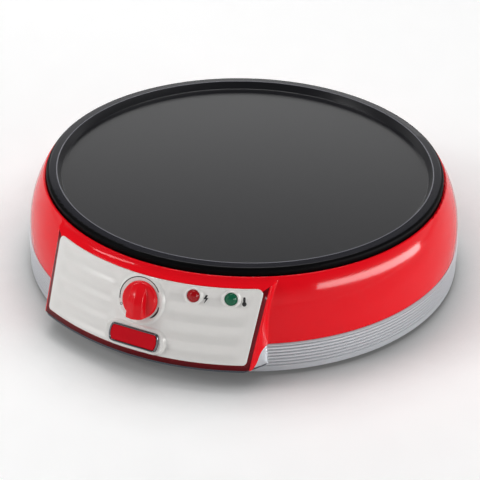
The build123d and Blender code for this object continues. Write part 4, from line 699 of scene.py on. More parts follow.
@dataclass(frozen=True)
class FrameDress:
    """Puts the finishes on the frame's solids and smooths how their facets shade."""

    crease_deg: float = 28.0        # faces that meet at more than this keep a sharp edge
    round_crease_deg: float = 58.0  # the same for pieces whose tight rounds have few facets
    round_pieces: tuple[str, ...] = ("upper_housing", "cooking_plate")
    wall: DrumWall = DrumWall()
    lip: PodLip = PodLip()
    rim_r: float = 141.9            # radius beyond which the plate has its rim's finish, greyer as painted light
    wall_share: float = 0.25        # outward share of a normal from which that is its wall's painted shade
    band_r: float = 162.0           # radius beyond which the base is the grooved band
    down_share: float = -0.25       # upward share of a normal below which a flank faces down
    pod_r: float = 171.0            # radius beyond which the base is the edge under the pod
    pod_half: float = 79.5          # half width of that edge

    def dress(self, nodes: dict[str, Object]) -> None:
        """Gives every node its finishes and its shading normals.

        Args:
            nodes: node name to object, as the frame gives them.
        """
        for name, obj in nodes.items():
            mesh = obj.data
            mesh.materials.clear()
            corners = self._corners(mesh)
            crease = self.round_crease_deg if name in self.round_pieces else self.crease_deg
            normals = self._smooth(corners, crease)
            slots = [NODE_FINISH[name]]
            number = np.zeros(len(corners))
            if name == "upper_housing":
                normals = self.lip.shade(corners, self.wall.shade(corners, normals))
                # painted shade: the lip's faces below and beside the fascia get a darker red
                slots += [RED_LIP_PAINTED_SHADE]
                number = self.lip.faces(corners)
            if name == "cooking_plate":
                # painted light on the rim's top, painted shade on its outward-facing wall
                slots += [NON_STICK_RIM_PAINTED_LIGHT, NON_STICK_WALL_PAINTED_SHADE]
                number = self._rim_and_wall(corners)
            if name == "base_housing":
                # painted shade: the band's down-facing flanks and the edge under the pod get a dark grey
                slots += [SILVER_PAINTED_SHADE]
                number = self._painted_shade_faces(corners)
            for finish in slots:
                mesh.materials.append(finish.build())
            mesh.polygons.foreach_set("material_index", number.astype(np.int32))
            mesh.polygons.foreach_set("use_smooth", np.ones(len(corners), dtype=bool))
            mesh.normals_split_custom_set(normals.tolist())
            LOG.info("%s: %s", name, ", ".join(finish.name for finish in slots))

    @staticmethod
    def _corners(mesh: Mesh) -> Array:
        """Reads the corner positions of a mesh of triangles.

        Args:
            mesh: the mesh, in metres.

        Returns:
            Faces by three by three.
        """
        spots = np.empty(len(mesh.vertices) * 3)
        mesh.vertices.foreach_get("co", spots)
        used = np.empty(len(mesh.loops), dtype=int)
        mesh.loops.foreach_get("vertex_index", used)
        return spots.reshape(-1, 3)[used].reshape(-1, 3, 3) / MM

    @staticmethod
    def _smooth(corners: Array, crease_deg: float) -> Array:
        """Shading normals of loose triangles.

        Args:
            corners: faces by three by three.
            crease_deg: faces that meet at more than this don't share a normal.

        Returns:
            For each corner the sum of the face normals that meet there within the crease
            angle, each times its area and its angle at the corner, made a unit vector; so
            the large flat faces stay flat.
        """
        face, area = face_normals(corners)
        ahead = np.roll(corners, -1, axis=1) - corners
        behind = np.roll(corners, 1, axis=1) - corners
        size = np.linalg.norm(ahead, axis=2) * np.linalg.norm(behind, axis=2)
        cosine = (ahead * behind).sum(axis=2) / np.maximum(size, TINY)
        weight = np.arccos(np.clip(cosine, -1.0, 1.0)) * area[:, None]
        keys = np.round(corners.reshape(-1, 3) / MERGE_MM).astype(int)
        _, group, count = np.unique(keys, axis=0, return_inverse=True, return_counts=True)
        group = group.reshape(-1)
        order = np.argsort(group, kind="stable")
        start = np.concatenate([[0], np.cumsum(count)[:-1]])
        times = count[group[order]]
        first = np.repeat(order, times)
        within = np.arange(times.sum()) - np.repeat(np.cumsum(times) - times, times)
        second = order[np.repeat(start[group[order]], times) + within]
        near = (face[first // 3] * face[second // 3]).sum(axis=1) > cos(radians(crease_deg))
        total = np.zeros((corners.shape[0] * 3, 3))
        part = face[second // 3] * weight.reshape(-1)[second][:, None]
        np.add.at(total, first[near], part[near])
        return total / np.maximum(np.linalg.norm(total, axis=1, keepdims=True), TINY)

    def _rim_and_wall(self, corners: Array) -> Array:
        """Finds the faces of the plate's rim, which get painted light on its top and painted shade on its
        outer wall.

        Args:
            corners: faces by three by three.

        Returns:
            1 for each face on the rim, 2 where the rim turns outward, else 0.
        """
        middle = corners.mean(axis=1)[:, :2]
        outer = np.linalg.norm(middle, axis=1)
        outward = (face_normals(corners)[0][:, :2] * middle).sum(axis=1) / outer.clip(TINY)
        return np.where(outer > self.rim_r, 1 + (outward > self.wall_share), 0)

    def _painted_shade_faces(self, corners: Array) -> Array:
        """Finds the faces that get the painted shade.

        Args:
            corners: faces by three by three.

        Returns:
            True for the band's flanks that face down and for the edge under the pod.
        """
        middle = corners.mean(axis=1)
        outer = np.hypot(middle[:, 0], middle[:, 1])
        flank = (outer > self.band_r) & (face_normals(corners)[0][:, 2] < self.down_share)
        return flank | ((outer > self.pod_r) & (np.abs(middle[:, 0]) < self.pod_half))


# ---- the pod's face --------------------------------------------------------------------------
@dataclass(frozen=True)
class Fascia:
    """Fluted front panel with raised pads."""

    cone: FaceCone = FaceCone()    # the face it lies on
    seat: float = 2.3              # depth of its recess
    proud: float = 0.6             # how far it stands out of the face
    top_corner: float = 5.0        # radius of its upper corners
    low_corner: float = 2.5        # radius of its lower corners
    edge_round: float = 0.8        # radius of its front edge
    edge_steps: int = 3            # grid steps across that round
    crease_deg: float = 40.0       # edges above this angle stay sharp
    flutes: int = 4                # hollow bands across it
    flute_depth: float = 1.3
    flute_power: float = 1.6       # how softly a flute's sides run out
    flute_border: float = 1.4      # plain border above and below them
    side_plain: float = 4.0        # plain border beside them
    side_fade: float = 9.0         # run-out at the sides
    pad_fade: float = 9.0          # run-out at the knob's pad
    pad_run: float = 1.5           # width of the pads' sloping sides
    knob_at: Pair = (0.0, 36.2)    # place of the knob's axis
    knob_pad_r: float = 16.6
    knob_pad_h: float = 1.6
    badge_at: Pair = (0.0, 9.3)    # place of the badge's middle
    badge_pad: Pair = (21.8, 8.2)  # half width and half height of its pad
    badge_pad_h: float = 1.4
    badge_bow: float = 2.0         # how far the pad's ends bow out
    badge_bow_reach: float = 1.5   # half heights over which they do so
    badge_round: float = 5.0       # radius of the pad's corners
    lens_x: Pair = (36.06, 60.49)  # places of the lenses across the face
    lens_s: float = 46.1           # their height on the face
    lens_seat_r: float = 5.3
    lens_seat_h: float = 0.25      # height of the seats above the panel
    lens_hole_r: float = 3.6
    spindle_hole_r: float = 4.2
    cols: int = 300                # grid corners across
    rows: int = 112                # grid corners up the slope

    def half_width(self, s: Array) -> Array:
        """Half width of the panel with its round corners.

        Args:
            s: slope lengths.

        Returns:
            The cone's half width less r - sqrt(r^2 - d^2), with d how far s is inside the
            corner's radius r from the lower or upper end.
        """
        low = np.clip(self.low_corner - s, 0.0, None)
        high = np.clip(self.top_corner - (self.cone.length - s), 0.0, None)
        cut = self.low_corner - np.sqrt(self.low_corner ** 2 - low ** 2)
        cut += self.top_corner - np.sqrt(self.top_corner ** 2 - high ** 2)
        return self.cone.half_at(s) - cut

    def lattice(self) -> tuple[Array, Array]:
        """Grid of (x, s), even inside and closer within the rounded edge.

        Returns:
            x and s, rows by columns. Distances from each edge start as
            e (1 - cos t) for t from 0 to 90 degrees and then go on evenly.
        """
        ease = self.edge_round * (1.0 - np.cos(np.linspace(0.0, pi / 2, self.edge_steps + 1)))
        inside = np.linspace(self.edge_round, self.cone.length - self.edge_round,
                             self.rows - 2 * self.edge_steps)
        s = np.concatenate([ease[:-1], inside, self.cone.length - ease[-2::-1]])
        half = self.half_width(s)[:, None]
        share = np.linspace(-1.0, 1.0, self.cols - 2 * self.edge_steps)[None, :]
        middle = share * (half - self.edge_round)
        left = -half + ease[None, :-1]
        x = np.concatenate([left, middle, -left[:, ::-1]], axis=1)
        return x, np.repeat(s[:, None], x.shape[1], axis=1)

    def flute_drop(self, x: Array, s: Array) -> Array:
        """Depth of the flutes.

        Args:
            x: offsets across.
            s: slope lengths.

        Returns:
            depth (1 - t^2)^power, with t from -1 to 1 across each band, faded out towards
            the panel's sides and the knob's pad.
        """
        pitch = self.cone.length / self.flutes
        band = np.clip(np.floor(s / pitch), 0, self.flutes - 1)
        low = np.maximum(band * pitch, self.flute_border)
        high = np.minimum((band + 1) * pitch, self.cone.length - self.flute_border)
        t = (s - (low + high) / 2) / ((high - low) / 2)
        side = self.half_width(s) - np.abs(x)
        fade = smooth_step(side, self.side_plain, self.side_plain + self.side_fade)
        fade *= smooth_step(np.abs(x), self.knob_pad_r, self.knob_pad_r + self.pad_fade)
        return self.flute_depth * np.clip(1.0 - t * t, 0.0, None) ** self.flute_power * fade

    def beyond_badge_pad(self, across: Array, upward: Array) -> Array:
        """Distance outside the badge pad's outline, negative within.

        Args:
            across: offsets across from the pad's middle.
            upward: offsets up the slope.

        Returns:
            The distance to a rectangle with round corners, whose half width falls by
            bow (y / half height)^2 towards its upper and lower edge.
        """
        half_w, half_h = self.badge_pad
        fall = np.clip(np.abs(upward) / half_h, 0.0, self.badge_bow_reach) ** 2
        over_x = np.abs(across) - half_w + self.badge_bow * fall + self.badge_round
        over_s = np.abs(upward) - half_h + self.badge_round
        outside = np.hypot(np.clip(over_x, 0.0, None), np.clip(over_s, 0.0, None))
        return outside - self.badge_round + np.minimum(np.maximum(over_x, over_s), 0.0)

    def lift(self, x: Array, s: Array) -> Array:
        """Height of the panel's front above the cone.

        Args:
            x: offsets across.
            s: slope lengths.

        Returns:
            The fluted height; on each flat pad the pad's plane, with a smooth step down its
            sloping side; and all round e (1 - sqrt(1 - t^2)) less, with t the share of the
            edge's round e that is left to the outline.
        """
        cone = self.cone
        lift = self.proud - self.flute_drop(x, s)
        badge = self.beyond_badge_pad(*cone.local(x, s, self.badge_at))
        pads = [(self.knob_at, cone.apart(x, s, self.knob_at) - self.knob_pad_r, self.knob_pad_h),
                (self.badge_at, badge, self.badge_pad_h)]
        for at in ((lens_x, self.lens_s) for lens_x in self.lens_x):
            pads.append((at, cone.apart(x, s, at) - self.lens_seat_r, self.proud + self.lens_seat_h))
        for at, outside, height in pads:
            share = 1.0 - smooth_step(outside, 0.0, self.pad_run)
            lift = lift + (cone.plane_lift(x, s, at, height) - lift) * share
        edge = np.minimum(self.half_width(s) - np.abs(x), np.minimum(s, cone.length - s))
        near = np.clip(1.0 - edge / self.edge_round, 0.0, 1.0)
        return lift - self.edge_round * (1.0 - np.sqrt(1.0 - near ** 2))

    def bored(self, x: Array, s: Array) -> Array:
        """Finds the holes for the spindle and the lenses.

        Args:
            x: offsets across.
            s: slope lengths.

        Returns:
            True inside a hole's radius.
        """
        inside = self.cone.apart(x, s, self.knob_at) < self.spindle_hole_r
        for lens_x in self.lens_x:
            inside |= self.cone.apart(x, s, (lens_x, self.lens_s)) < self.lens_hole_r
        return inside

    def build(self) -> Object:
        """Makes the panel.

        Returns:
            The piece: its front at its lift, its back at the seat's depth, both equal in
            the holes.
        """
        x, s = self.lattice()
        low = np.full_like(x, -self.seat)
        high = np.where(self.bored(x, s), low, self.lift(x, s))
        piece = slab("fascia_front", self.cone.place(x, s, high), self.cone.place(x, s, low),
                     PEARL_LACQUER, self.crease_deg)
        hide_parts("fascia_panel")
        return piece


@dataclass(frozen=True)
class FacePrint:
    """Dial marks and signs printed on the fascia.

    Offsets run across and up the face, and angles clockwise from the top.
    """

    fascia: Fascia = Fascia()
    ink: float = 0.05                # thickness of the print above the panel
    sunk: float = 0.03               # how far it reaches into the panel
    strips: int = 3                  # grid lines across a print
    arc_points: int = 60
    dial_middle: Pair = (-0.7, 0.5)  # middle of the dial's line, off the axis
    dial_r: Pair = (14.7, 15.35)     # its inner and outer radius
    dial_deg: Pair = (-104.0, 60.0)  # its start and end
    crescent_r: float = 14.2         # inner radius of the dark crescent beside the knob, a painted shadow
    crescent_deg: Pair = (98.0, 140.0)
    crescent_width: float = 0.35     # width at its ends
    crescent_swell: float = 1.0      # what it is wider in the middle
    crescent_power: float = 0.8      # how fast it gets wider
    crescent_points: int = 40
    off_at: Pair = (-13.6, -6.6)     # middle of the off mark's open ring
    off_r: float = 1.0
    off_hole: float = 0.62           # its hole's share of that radius
    off_deg: Pair = (0.0, 330.0)
    bolt_at: Pair = (44.3, 44.6)     # place of the power sign
    bolt_steps: int = 8              # steps on each stretch of its outline
    heat_at: Pair = (69.0, 44.3)     # place of the thermometer
    heat_half: float = 3.1           # half of its height
    heat_foot_r: float = 1.5         # radius of its round foot
    heat_foot_y: float = -1.6        # height of that foot's middle
    heat_tube_r: float = 0.8         # half width of its tube
    heat_tube_y: float = 2.3         # height where the tube's end is round
    heat_points: int = 61

    def ribbon(self, name: str, at: Pair, inner: Array, outer: Array) -> None:
        """Prints the area between two lines.

        Args:
            name: name of the print.
            at: place that the lines are measured from.
            inner: points of the one line, across and up, one row each.
            outer: points of the other line, as many, to the left of the first as it runs.
        """
        cone = self.fascia.cone
        share = np.linspace(0.0, 1.0, self.strips)[:, None, None]
        flat = inner[None] * (1.0 - share) + outer[None] * share
        spots = on_plane(cone.frame_at(*at), flat, np.zeros(1))
        x, s = spots[..., 0], (spots[..., 2] - cone.bottom_z) / cos(radians(cone.lean_deg))
        lift = self.fascia.lift(x, s)
        slab(name, cone.place(x, s, lift + self.ink), cone.place(x, s, lift - self.sunk), DIAL_INK)

    @staticmethod
    def arc(radius: Array, span_deg: Pair, middle: Pair) -> Array:
        """Points of an arc.

        Args:
            radius: radius of each point.
            span_deg: angles of the first and the last point.
            middle: the arc's middle.

        Returns:
            One row per point: middle + radius (sin a, cos a) at even angles a.
        """
        turn = np.radians(np.linspace(*span_deg, radius.size))
        return np.stack([middle[0] + radius * np.sin(turn), middle[1] + radius * np.cos(turn)], axis=-1)

    def build(self) -> None:
        """Prints the dial's line, a dark crescent beside the knob that is painted shadow, the off ring,
        the bolt and the thermometer.
        """
        knob = self.fascia.knob_at
        inner, outer = (self.arc(np.full(self.arc_points, r), self.dial_deg, self.dial_middle)
                        for r in self.dial_r)
        self.ribbon("dial_line", knob, inner, outer)
        # Painted shadow: a dark ink crescent hugging the knob's lower right side, wider in its middle.
        hump = np.sin(np.linspace(0.0, pi, self.crescent_points)) ** self.crescent_power
        radius = np.full(self.crescent_points, self.crescent_r)
        wide = radius + self.crescent_width + self.crescent_swell * hump
        self.ribbon("knob_painted_shadow", knob, self.arc(radius, self.crescent_deg, (0.0, 0.0)),
                    self.arc(wide, self.crescent_deg, (0.0, 0.0)))
        inner, outer = (self.arc(np.full(self.arc_points, r), self.off_deg, self.off_at)
                        for r in (self.off_r * self.off_hole, self.off_r))
        self.ribbon("dial_off_ring", knob, inner, outer)
        self.bolt()
        self.thermometer()

    def bolt(self) -> None:
        """Zigzag of three strokes, wide in the middle: the sign for mains power."""
        left = np.array([[-0.15, 2.7], [-1.6, -0.25], [0.0, -0.2], [-0.95, -2.8]])
        right = np.array([[1.3, 2.7], [0.45, 0.75], [1.75, 0.7], [-0.6, -2.8]])
        self.ribbon("power_sign", self.bolt_at, self.dense(right)[::-1], self.dense(left)[::-1])

    def thermometer(self) -> None:
        """Tube with a round foot: half width is the tube's, or the foot's circle where wider."""
        y = np.linspace(-self.heat_half, self.heat_half, self.heat_points)
        foot = np.sqrt(np.clip(self.heat_foot_r ** 2 - (y - self.heat_foot_y) ** 2, 0.0, None))
        over = np.clip(y - self.heat_tube_y, 0.0, None)
        tube = np.sqrt(np.clip(self.heat_tube_r ** 2 - over ** 2, 0.0, None))
        half = np.maximum(foot, np.where(y > self.heat_foot_y, tube, 0.0))
        right, left = (np.stack([side * half, y], axis=-1) for side in (1, -1))
        self.ribbon("heat_sign", self.heat_at, right, left)

    def dense(self, line: Array) -> Array:
        """A polyline with even steps put in on each of its stretches."""
        marks = np.arange(len(line))
        steps = np.linspace(0.0, marks[-1], self.bolt_steps * marks[-1] + 1)
        return np.stack([np.interp(steps, marks, part) for part in line.T], axis=-1)


@dataclass(frozen=True)
class BadgeMoulding:
    """Half-round chrome moulding round the badge."""

    cone: FaceCone = FaceCone()  # the face it lies on
    at: Pair = (0.0, 9.3)        # place of the badge's middle
    half: Pair = (19.0, 6.7)     # half width and half height outside
    bow: float = 1.6             # how far its ends bow out
    power: int = 14              # the higher, the tighter its corners
    width: float = 1.35          # width of the moulding
    low: float = 1.4             # height of its underside above the face
    flank: float = 0.9           # height of its upright sides
    crown: float = 0.75          # height of its half-round top
    crown_steps: int = 15        # points over that top
    steps: int = 480             # points along the path
    finer: int = 8               # first points for each of these

    def path(self) -> tuple[Array, Array]:
        """Outer edge and its outward directions.

        Returns:
            Points and unit vectors. The edge is |x / a|^power + |y / b|^power = 1, whose
            ends are then bowed out by bow (1 - (y / b)^2), in steps of even length.
        """
        ray = compass(self.finer * self.steps)
        reach = (np.abs(ray) ** self.power).sum(axis=1) ** (-1 / self.power)
        flat = ray * reach[:, None] * np.array([self.half[0] - self.bow, self.half[1]])
        flat[:, 0] += np.sign(flat[:, 0]) * self.bow * (1.0 - (flat[:, 1] / self.half[1]) ** 2)
        step = np.linalg.norm(np.roll(flat, -1, axis=0) - flat, axis=1)
        along = np.concatenate([[0.0], np.cumsum(step)])
        even = np.linspace(0.0, along[-1], self.steps, endpoint=False)
        closed = np.concatenate([flat, flat[:1]]).T
        line = np.stack([np.interp(even, along, part) for part in closed], axis=-1)
        tangent = np.roll(line, -1, axis=0) - np.roll(line, 1, axis=0)
        tangent /= np.linalg.norm(tangent, axis=1, keepdims=True)
        return line, np.stack([tangent[:, 1], -tangent[:, 0]], axis=-1)

    def build(self) -> Object:
        """Carries the half-round profile along the path.

        Returns:
            The moulding. Its profile runs up the outer flank, over the half ellipse with
            half width w/2 and height crown, and down the inner flank.
        """
        line, outward = self.path()
        off, high = half_round(self.width, self.flank, self.flank + self.crown, self.crown_steps)
        off = np.concatenate([[0.0], off, [-self.width]])
        high = np.concatenate([[0.0], high, [0.0]]) + self.low
        return carry("badge_moulding", line, outward, off, high, self.cone.frame_at(*self.at),
                     CHROME, "badge_frame")


@dataclass(frozen=True)
class Collars:
    """Round collars: the fascia's lens seats and the rim's inner edge."""

    fascia: Fascia = Fascia()  # the panel with the lens seats
    lens_r: float = 6.0        # outer radius of a lens seat
    lens_width: float = 1.8    # its width, which covers the lens's flange
    lens_low: float = 0.2      # how far its foot stands above the face
    lens_top: float = 1.75     # how far its crown does
    lens_steps: int = 96
    edge_r: float = 142.5      # radius of the plate's inner rim edge
    edge_z: float = 78.05      # height of the rim
    edge_width: float = 0.9    # width of the painted highlight line on it
    edge_top: float = 0.35     # how far it stands up
    edge_steps: int = 512
    crown_steps: int = 17      # points over each collar

    def build(self) -> None:
        """Makes both lens seats and the rim's edge line with its painted highlight."""
        off, high = half_round(self.lens_width, self.lens_low, self.lens_top, self.crown_steps)
        ray = compass(self.lens_steps)
        for name, x in zip(("power_lens_seat", "ready_lens_seat"), self.fascia.lens_x):
            base = self.fascia.cone.frame_at(x, self.fascia.lens_s)
            carry(name, ray * self.lens_r, ray, off, high, base, PEARL_LACQUER)
        # painted highlight: a light grey half-round line along the rim's inner edge
        off, high = half_round(self.edge_width, 0.0, self.edge_top, self.crown_steps)
        ray = compass(self.edge_steps)
        level = (np.array([0.0, 0.0, self.edge_z]), *np.eye(3))
        carry("rim_edge", ray * self.edge_r, ray, off, high, level, RIM_EDGE_PAINTED_HIGHLIGHT)


@dataclass(frozen=True)
class Knob:
    """Red knob with a bar grip.

    Offsets run across and up the grip, from the knob's axis.
    """

    fascia: Fascia = Fascia()  # the panel it turns on
    lift: float = 2.1          # height of its underside above the face
    radius: float = 13.2       # radius of its foot
    disc_h: float = 3.2        # height of its disc
    disc_top_r: float = 12.5   # radius of the disc's top
    disc_fall: float = 0.12    # share of that height that the disc's dome falls
    edge_share: float = 0.93   # share of the radius where the disc's edge turns down
    edge_fall: float = 0.5     # how far it does
    height: float = 9.3        # height of the grip's crest
    sunk_share: float = 0.55   # share of the disc's height where the crest ends
    crest_power: float = 0.8   # how late the crest falls
    grip_half: float = 6.0     # half width of the grip
    grip_mid: float = 0.95     # share of it at the axis
    grip_taper: float = 0.1    # share that is lost up to the high end
    grip_crown: float = 1.5    # how far its crest falls towards its sides
    ridge: float = 0.03        # how round the crest's ridge is
    ridge_top: float = 0.17    # share of the crown's fall that this rounding takes off
    flank_in: float = 0.5      # where its flanks start, inside the half width
    flank_run: float = 1.3     # where they end, outside it
    blend: float = 0.2         # how soft the grip meets the disc
    low_end: float = 12.8      # reach of the grip below the axis
    low_wide: float = 0.6      # what its straight low end is wider
    low_run: float = 0.7       # over how much its ends run out to either side
    low_slack: float = 0.3     # how far its corners may pass the foot's radius
    low_power: int = 24        # the higher, the tighter those corners
    low_sine: float = 0.5      # least -sin t that the straight end is worked out with
    flat_end: float = -3.0     # where the crest starts to fall, above the axis
    high_end: float = 12.4     # where it has sunk into the disc
    rest_deg: float = 4.0      # how far the low end stands to the right at rest
    rings: int = 84            # grid rings from axis to rim
    side_rings: int = 8        # grid rings down the side
    foot_rings: int = 5        # grid rings across the underside
    spokes: int = 288

    def top(self, x: Array, y: Array) -> Array:
        """Height of the knob's top over its foot.

        Args:
            x: offsets across.
            y: offsets up the grip.

        Returns:
            The soft maximum of grip and disc: half their sum plus half the root of their
            squared difference and blend. The grip's crest falls along y as the power of the
            cosine of its way from flat_end to high_end. Across x it is a roof with a round
            ridge, crown sqrt((x / half)^2 + ridge), and it falls to the disc in a smooth
            step. The disc falls with the fourth power of the reach.
        """
        fall = np.clip((y - self.flat_end) / (self.high_end - self.flat_end), 0.0, 1.0)
        foot = self.disc_h * self.sunk_share
        crest = foot + (self.height - foot) * np.cos(fall * pi / 2) ** self.crest_power
        half = self.grip_half * (self.grip_mid - self.grip_taper * y / self.high_end)
        crown = self.grip_crown * (np.sqrt((x / half) ** 2 + self.ridge) - self.ridge_top)
        flank = 1.0 - smooth_step(np.abs(x), half - self.flank_in, half + self.flank_run)
        grip = (crest - crown) * flank
        reach = np.hypot(x, y) / self.radius
        disc = self.disc_h * (1.0 - self.disc_fall * reach ** 4)
        return 0.5 * (grip + disc) + 0.5 * np.sqrt((grip - disc) ** 2 + self.blend)

    def rim(self, turn: Array) -> Array:
        """Radius of the knob's top edge.

        Args:
            turn: angles from across, anticlockwise.

        Returns:
            The disc's, and at the grip's low end the straight end's distance
            low_end / -sin t, kept within the foot's radius by a soft minimum.
        """
        wide = self.grip_half + self.low_wide
        beside = np.abs(self.radius * np.cos(turn))
        in_grip = 1.0 - smooth_step(beside, wide - self.low_run, wide + self.low_run)
        flat_r = self.low_end / np.maximum(-np.sin(turn), self.low_sine)
        most = self.radius + self.low_slack
        straight = (flat_r ** -self.low_power + most ** -self.low_power) ** (-1 / self.low_power)
        return self.disc_top_r + (straight - self.disc_top_r) * in_grip * (np.sin(turn) < 0)

    def build(self) -> Object:
        """Makes the knob on rings and spokes.

        Returns:
            The piece: a domed top, a drafted side and a flat underside.
        """
        turn = np.linspace(0.0, 2 * pi, self.spokes, endpoint=False)
        rim_r = self.rim(turn)
        share = np.linspace(0.0, 1.0, self.rings)[:, None]
        top_r = share * rim_r[None, :]
        top_z = self.top(top_r * np.cos(turn), top_r * np.sin(turn))
        top_z = top_z - self.edge_fall * smooth_step(share, self.edge_share, 1.0) ** 2
        drop = np.linspace(0.0, 1.0, self.side_rings + 1)[1:, None]
        side_r = rim_r + (np.maximum(self.radius, rim_r) - rim_r) * drop
        side_z = top_z[-1:] * (1.0 - drop)
        foot_r = self.radius * np.linspace(1.0, 0.0, self.foot_rings + 1)[1:, None] + 0.0 * turn
        all_r = np.concatenate([top_r, side_r, foot_r])
        all_z = np.concatenate([top_z, side_z, np.zeros_like(foot_r)])
        shown = turn + radians(self.rest_deg)
        flat = np.stack([all_r * np.cos(shown), all_r * np.sin(shown)], axis=-1)
        base = self.fascia.cone.frame_at(*self.fascia.knob_at)
        spots = on_plane(base, flat, all_z + self.lift)
        numbers = np.arange(all_r.size).reshape(all_r.shape)
        after = np.roll(numbers, -1, axis=1)
        quads = np.stack([numbers[:-1], numbers[1:], after[1:], after[:-1]], axis=-1).reshape(-1, 4)
        piece = put_mesh("knob_shell", spots.reshape(-1, 3), quads.tolist(), RED_KNOB, "knob",
                         ROUND_CREASE_DEG)
        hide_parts("control_knob")
        return piece


# ---- studio ----------------------------------------------------------------------------------
@dataclass(frozen=True)
class Softbox:
    """One rectangular lamp that faces the subject; sizes in metres."""

    name: str
    at: Spot
    size: Pair             # width and height
    watts: float
    roll_deg: float = 0.0  # turn about its own beam, which tilts its long side
    mirrored: bool = True  # whether glossy surfaces show it

    def build(self, subject: Spot) -> None:
        """Hangs the lamp.

        Args:
            subject: the point that it faces.
        """
        data = bpy.data.lights.new(self.name, "AREA")
        data.shape = "RECTANGLE"
        data.size, data.size_y = self.size
        data.energy = self.watts
        lamp = put_object(self.name, data)
        beam = Vector(subject) - Vector(self.at)
        facing = beam.to_track_quat("-Z", "Y").to_matrix().to_4x4()
        roll = Matrix.Rotation(radians(self.roll_deg), 4, "Z")
        lamp.matrix_world = Matrix.Translation(self.at) @ facing @ roll
        lamp.visible_glossy = self.mirrored


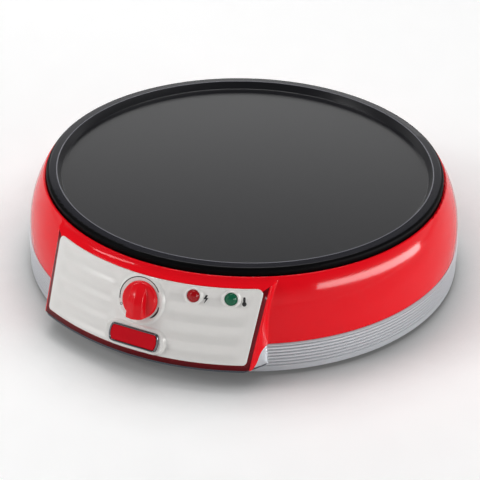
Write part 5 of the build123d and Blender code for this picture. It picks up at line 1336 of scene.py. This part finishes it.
@dataclass(frozen=True)
class Studio:
    """Floor, world, lamps and camera; sizes in metres.

    The lamps are a soft fill from the left that leaves no image of itself, a strip on the
    same side for the highlights, a broad light from above behind, a low strip on the right
    and one at the back.
    """

    subject: Spot = (0.0, 0.0, 0.05)        # point that the lamps face
    lamps: tuple[Softbox, ...] = (
        Softbox("fill_softbox", (-1.6, -1.3, 1.15), (1.1, 1.1), 17.0, mirrored=False),
        Softbox("left_strip", (-1.6, -1.3, 1.5), (1.0, 0.24), 8.0),
        Softbox("top_softbox", (-0.35, 0.8, 2.1), (1.3, 1.0), 18.5),
        Softbox("right_strip", (1.80, 0.08, 0.285), (2.2, 0.19), 20.0, roll_deg=-12.5),
        Softbox("back_strip", (-0.93, 2.0, 0.98), (2.4, 0.45), 7.5),
    )
    floor_half: float = 6.0                 # half width of the floor
    floor_grain: float = 0.025              # size of the clouds in the paper
    floor_glow: float = 0.16                # what the floor adds for the camera, to stay pale
    contact_reach: float = 0.07             # how far from the object the painted contact shade reaches
    contact_dark: float = 0.35              # open share of the sky where that is complete
    contact_level: float = 0.40             # share of the floor's colour that is left there
    contact_rays: int = 16
    ambient: float = 0.24                   # level of the world for matt surfaces
    backdrop_low: float = 0.03              # height of a ray up to which gloss sees white
    backdrop_high: float = 0.34             # height from which it sees the ceiling
    ceiling: float = 0.16                   # level of the ceiling
    camera_at: Spot = (0.43746, -0.95330, 0.65087)
    back: Spot = (0.3579, -0.7745, 0.5216)  # from subject to camera
    roll_deg: float = 1.20                  # the camera's roll
    lens_mm: float = 118.2
    sensor_mm: float = 36.0

    def build(self) -> None:
        """Builds the whole studio."""
        self._floor()
        self._world()
        for lamp in self.lamps:
            lamp.build(self.subject)
        self._camera()

    def _floor(self) -> None:
        """A level square of white paper under the feet, with painted contact shade: darker where the
        object is near.
        """
        h = self.floor_half
        mesh = bpy.data.meshes.new("studio_floor")
        mesh.from_pydata([(-h, -h, 0.0), (h, -h, 0.0), (h, h, 0.0), (-h, h, 0.0)], [], [(0, 1, 2, 3)])
        paper = bpy.data.materials.new("studio_paper")
        tree = bare_tree(paper)
        place = add_node(tree, "TexCoord")
        grain = add_node(tree, "TexNoise", {"Vector": place.outputs["Object"],
                                            "Scale": 1.0 / self.floor_grain})
        colour = add_node(tree, "MixRGB", {"Fac": grain.outputs["Fac"], "Color1": linear("fafafa"),
                                           "Color2": linear("f4f4f4")})
        # Painted contact shade: ambient occlusion darkens the paper's colour near the object.
        near = add_node(tree, "AmbientOcclusion", {"Distance": self.contact_reach},
                        samples=self.contact_rays)
        shade = add_node(tree, "MapRange", {"Value": near.outputs["AO"], "From Min": self.contact_dark,
                                            "To Min": self.contact_level})
        shaded = add_node(tree, "MixRGB", {"Fac": 1.0, "Color1": colour.outputs[0],
                                           "Color2": shade.outputs[0]}, blend_type="MULTIPLY")
        matt = add_node(tree, "BsdfDiffuse", {"Color": shaded.outputs[0]})
        glow = add_node(tree, "Emission", {"Color": shaded.outputs[0], "Strength": self.floor_glow})
        both = add_node(tree, "AddShader", {0: matt.outputs[0], 1: glow.outputs[0]})
        path = add_node(tree, "LightPath")
        seen = add_node(tree, "MixShader", {0: path.outputs["Is Camera Ray"], 1: matt.outputs[0],
                                            2: both.outputs[0]})
        add_node(tree, "OutputMaterial", {"Surface": seen.outputs[0]})
        mesh.materials.append(paper)
        floor = put_object("studio_floor", mesh)

    def _world(self) -> None:
        """A plain level for matt surfaces; a pale backdrop under a dim ceiling for glossy ones.

        The camera and clear pieces see white. A glossy ray sees white at the horizon and
        less with the height of its direction z: it falls in a smooth step from white at
        backdrop_low to ceiling at backdrop_high and stays there.
        """
        world = bpy.data.worlds.new("studio_world")
        tree = bare_tree(world)
        path = add_node(tree, "LightPath").outputs
        way = add_node(tree, "TexCoord")
        height = add_node(tree, "SeparateXYZ", {0: way.outputs["Generated"]})
        level = add_node(tree, "MapRange", {"Value": height.outputs["Z"], "From Min": self.backdrop_low,
                                            "From Max": self.backdrop_high, "To Min": 1.0,
                                            "To Max": self.ceiling}, interpolation_type="SMOOTHSTEP")
        plain, backdrop, white = (
            add_node(tree, "Background", {"Color": (1.0, 1.0, 1.0, 1.0), "Strength": strength}).outputs[0]
            for strength in (self.ambient, level.outputs[0], 1.0))
        gloss = add_node(tree, "MixShader", {0: path["Is Glossy Ray"], 1: plain, 2: backdrop})
        clear = add_node(tree, "Math", {0: path["Is Camera Ray"], 1: path["Is Transmission Ray"]},
                         operation="MAXIMUM")
        mixed = add_node(tree, "MixShader", {0: clear.outputs[0], 1: gloss.outputs[0], 2: white})
        add_node(tree, "OutputWorld", {"Surface": mixed.outputs[0]})
        bpy.context.scene.world = world

    def _camera(self) -> None:
        """Camera from its back vector: right is level, then both are rolled about the view."""
        back = Vector(self.back).normalized()
        level = Vector((-back.y, back.x, 0.0)).normalized()
        up = back.cross(level)
        c, s = cos(radians(self.roll_deg)), sin(radians(self.roll_deg))
        turn = Matrix((c * level + s * up, -s * level + c * up, back)).transposed().to_4x4()
        data = bpy.data.cameras.new("catalogue_angle")
        data.lens = self.lens_mm
        data.sensor_width = self.sensor_mm
        camera = put_object("catalogue_angle", data)
        camera.matrix_world = Matrix.Translation(self.camera_at) @ turn
        bpy.context.scene.camera = camera


def main() -> None:
    """Builds the crepe maker's looks and the studio round it."""
    logging.basicConfig(level=logging.INFO, format="%(name)s %(message)s")
    FrameDress().dress(frame["nodes"])
    Fascia().build()
    FacePrint().build()
    BadgeMoulding().build()
    Collars().build()
    Knob().build()
    Studio().build()
    scene = bpy.context.scene
    scene.view_settings.view_transform = "Standard"


if __name__ == "__main__":
    main()
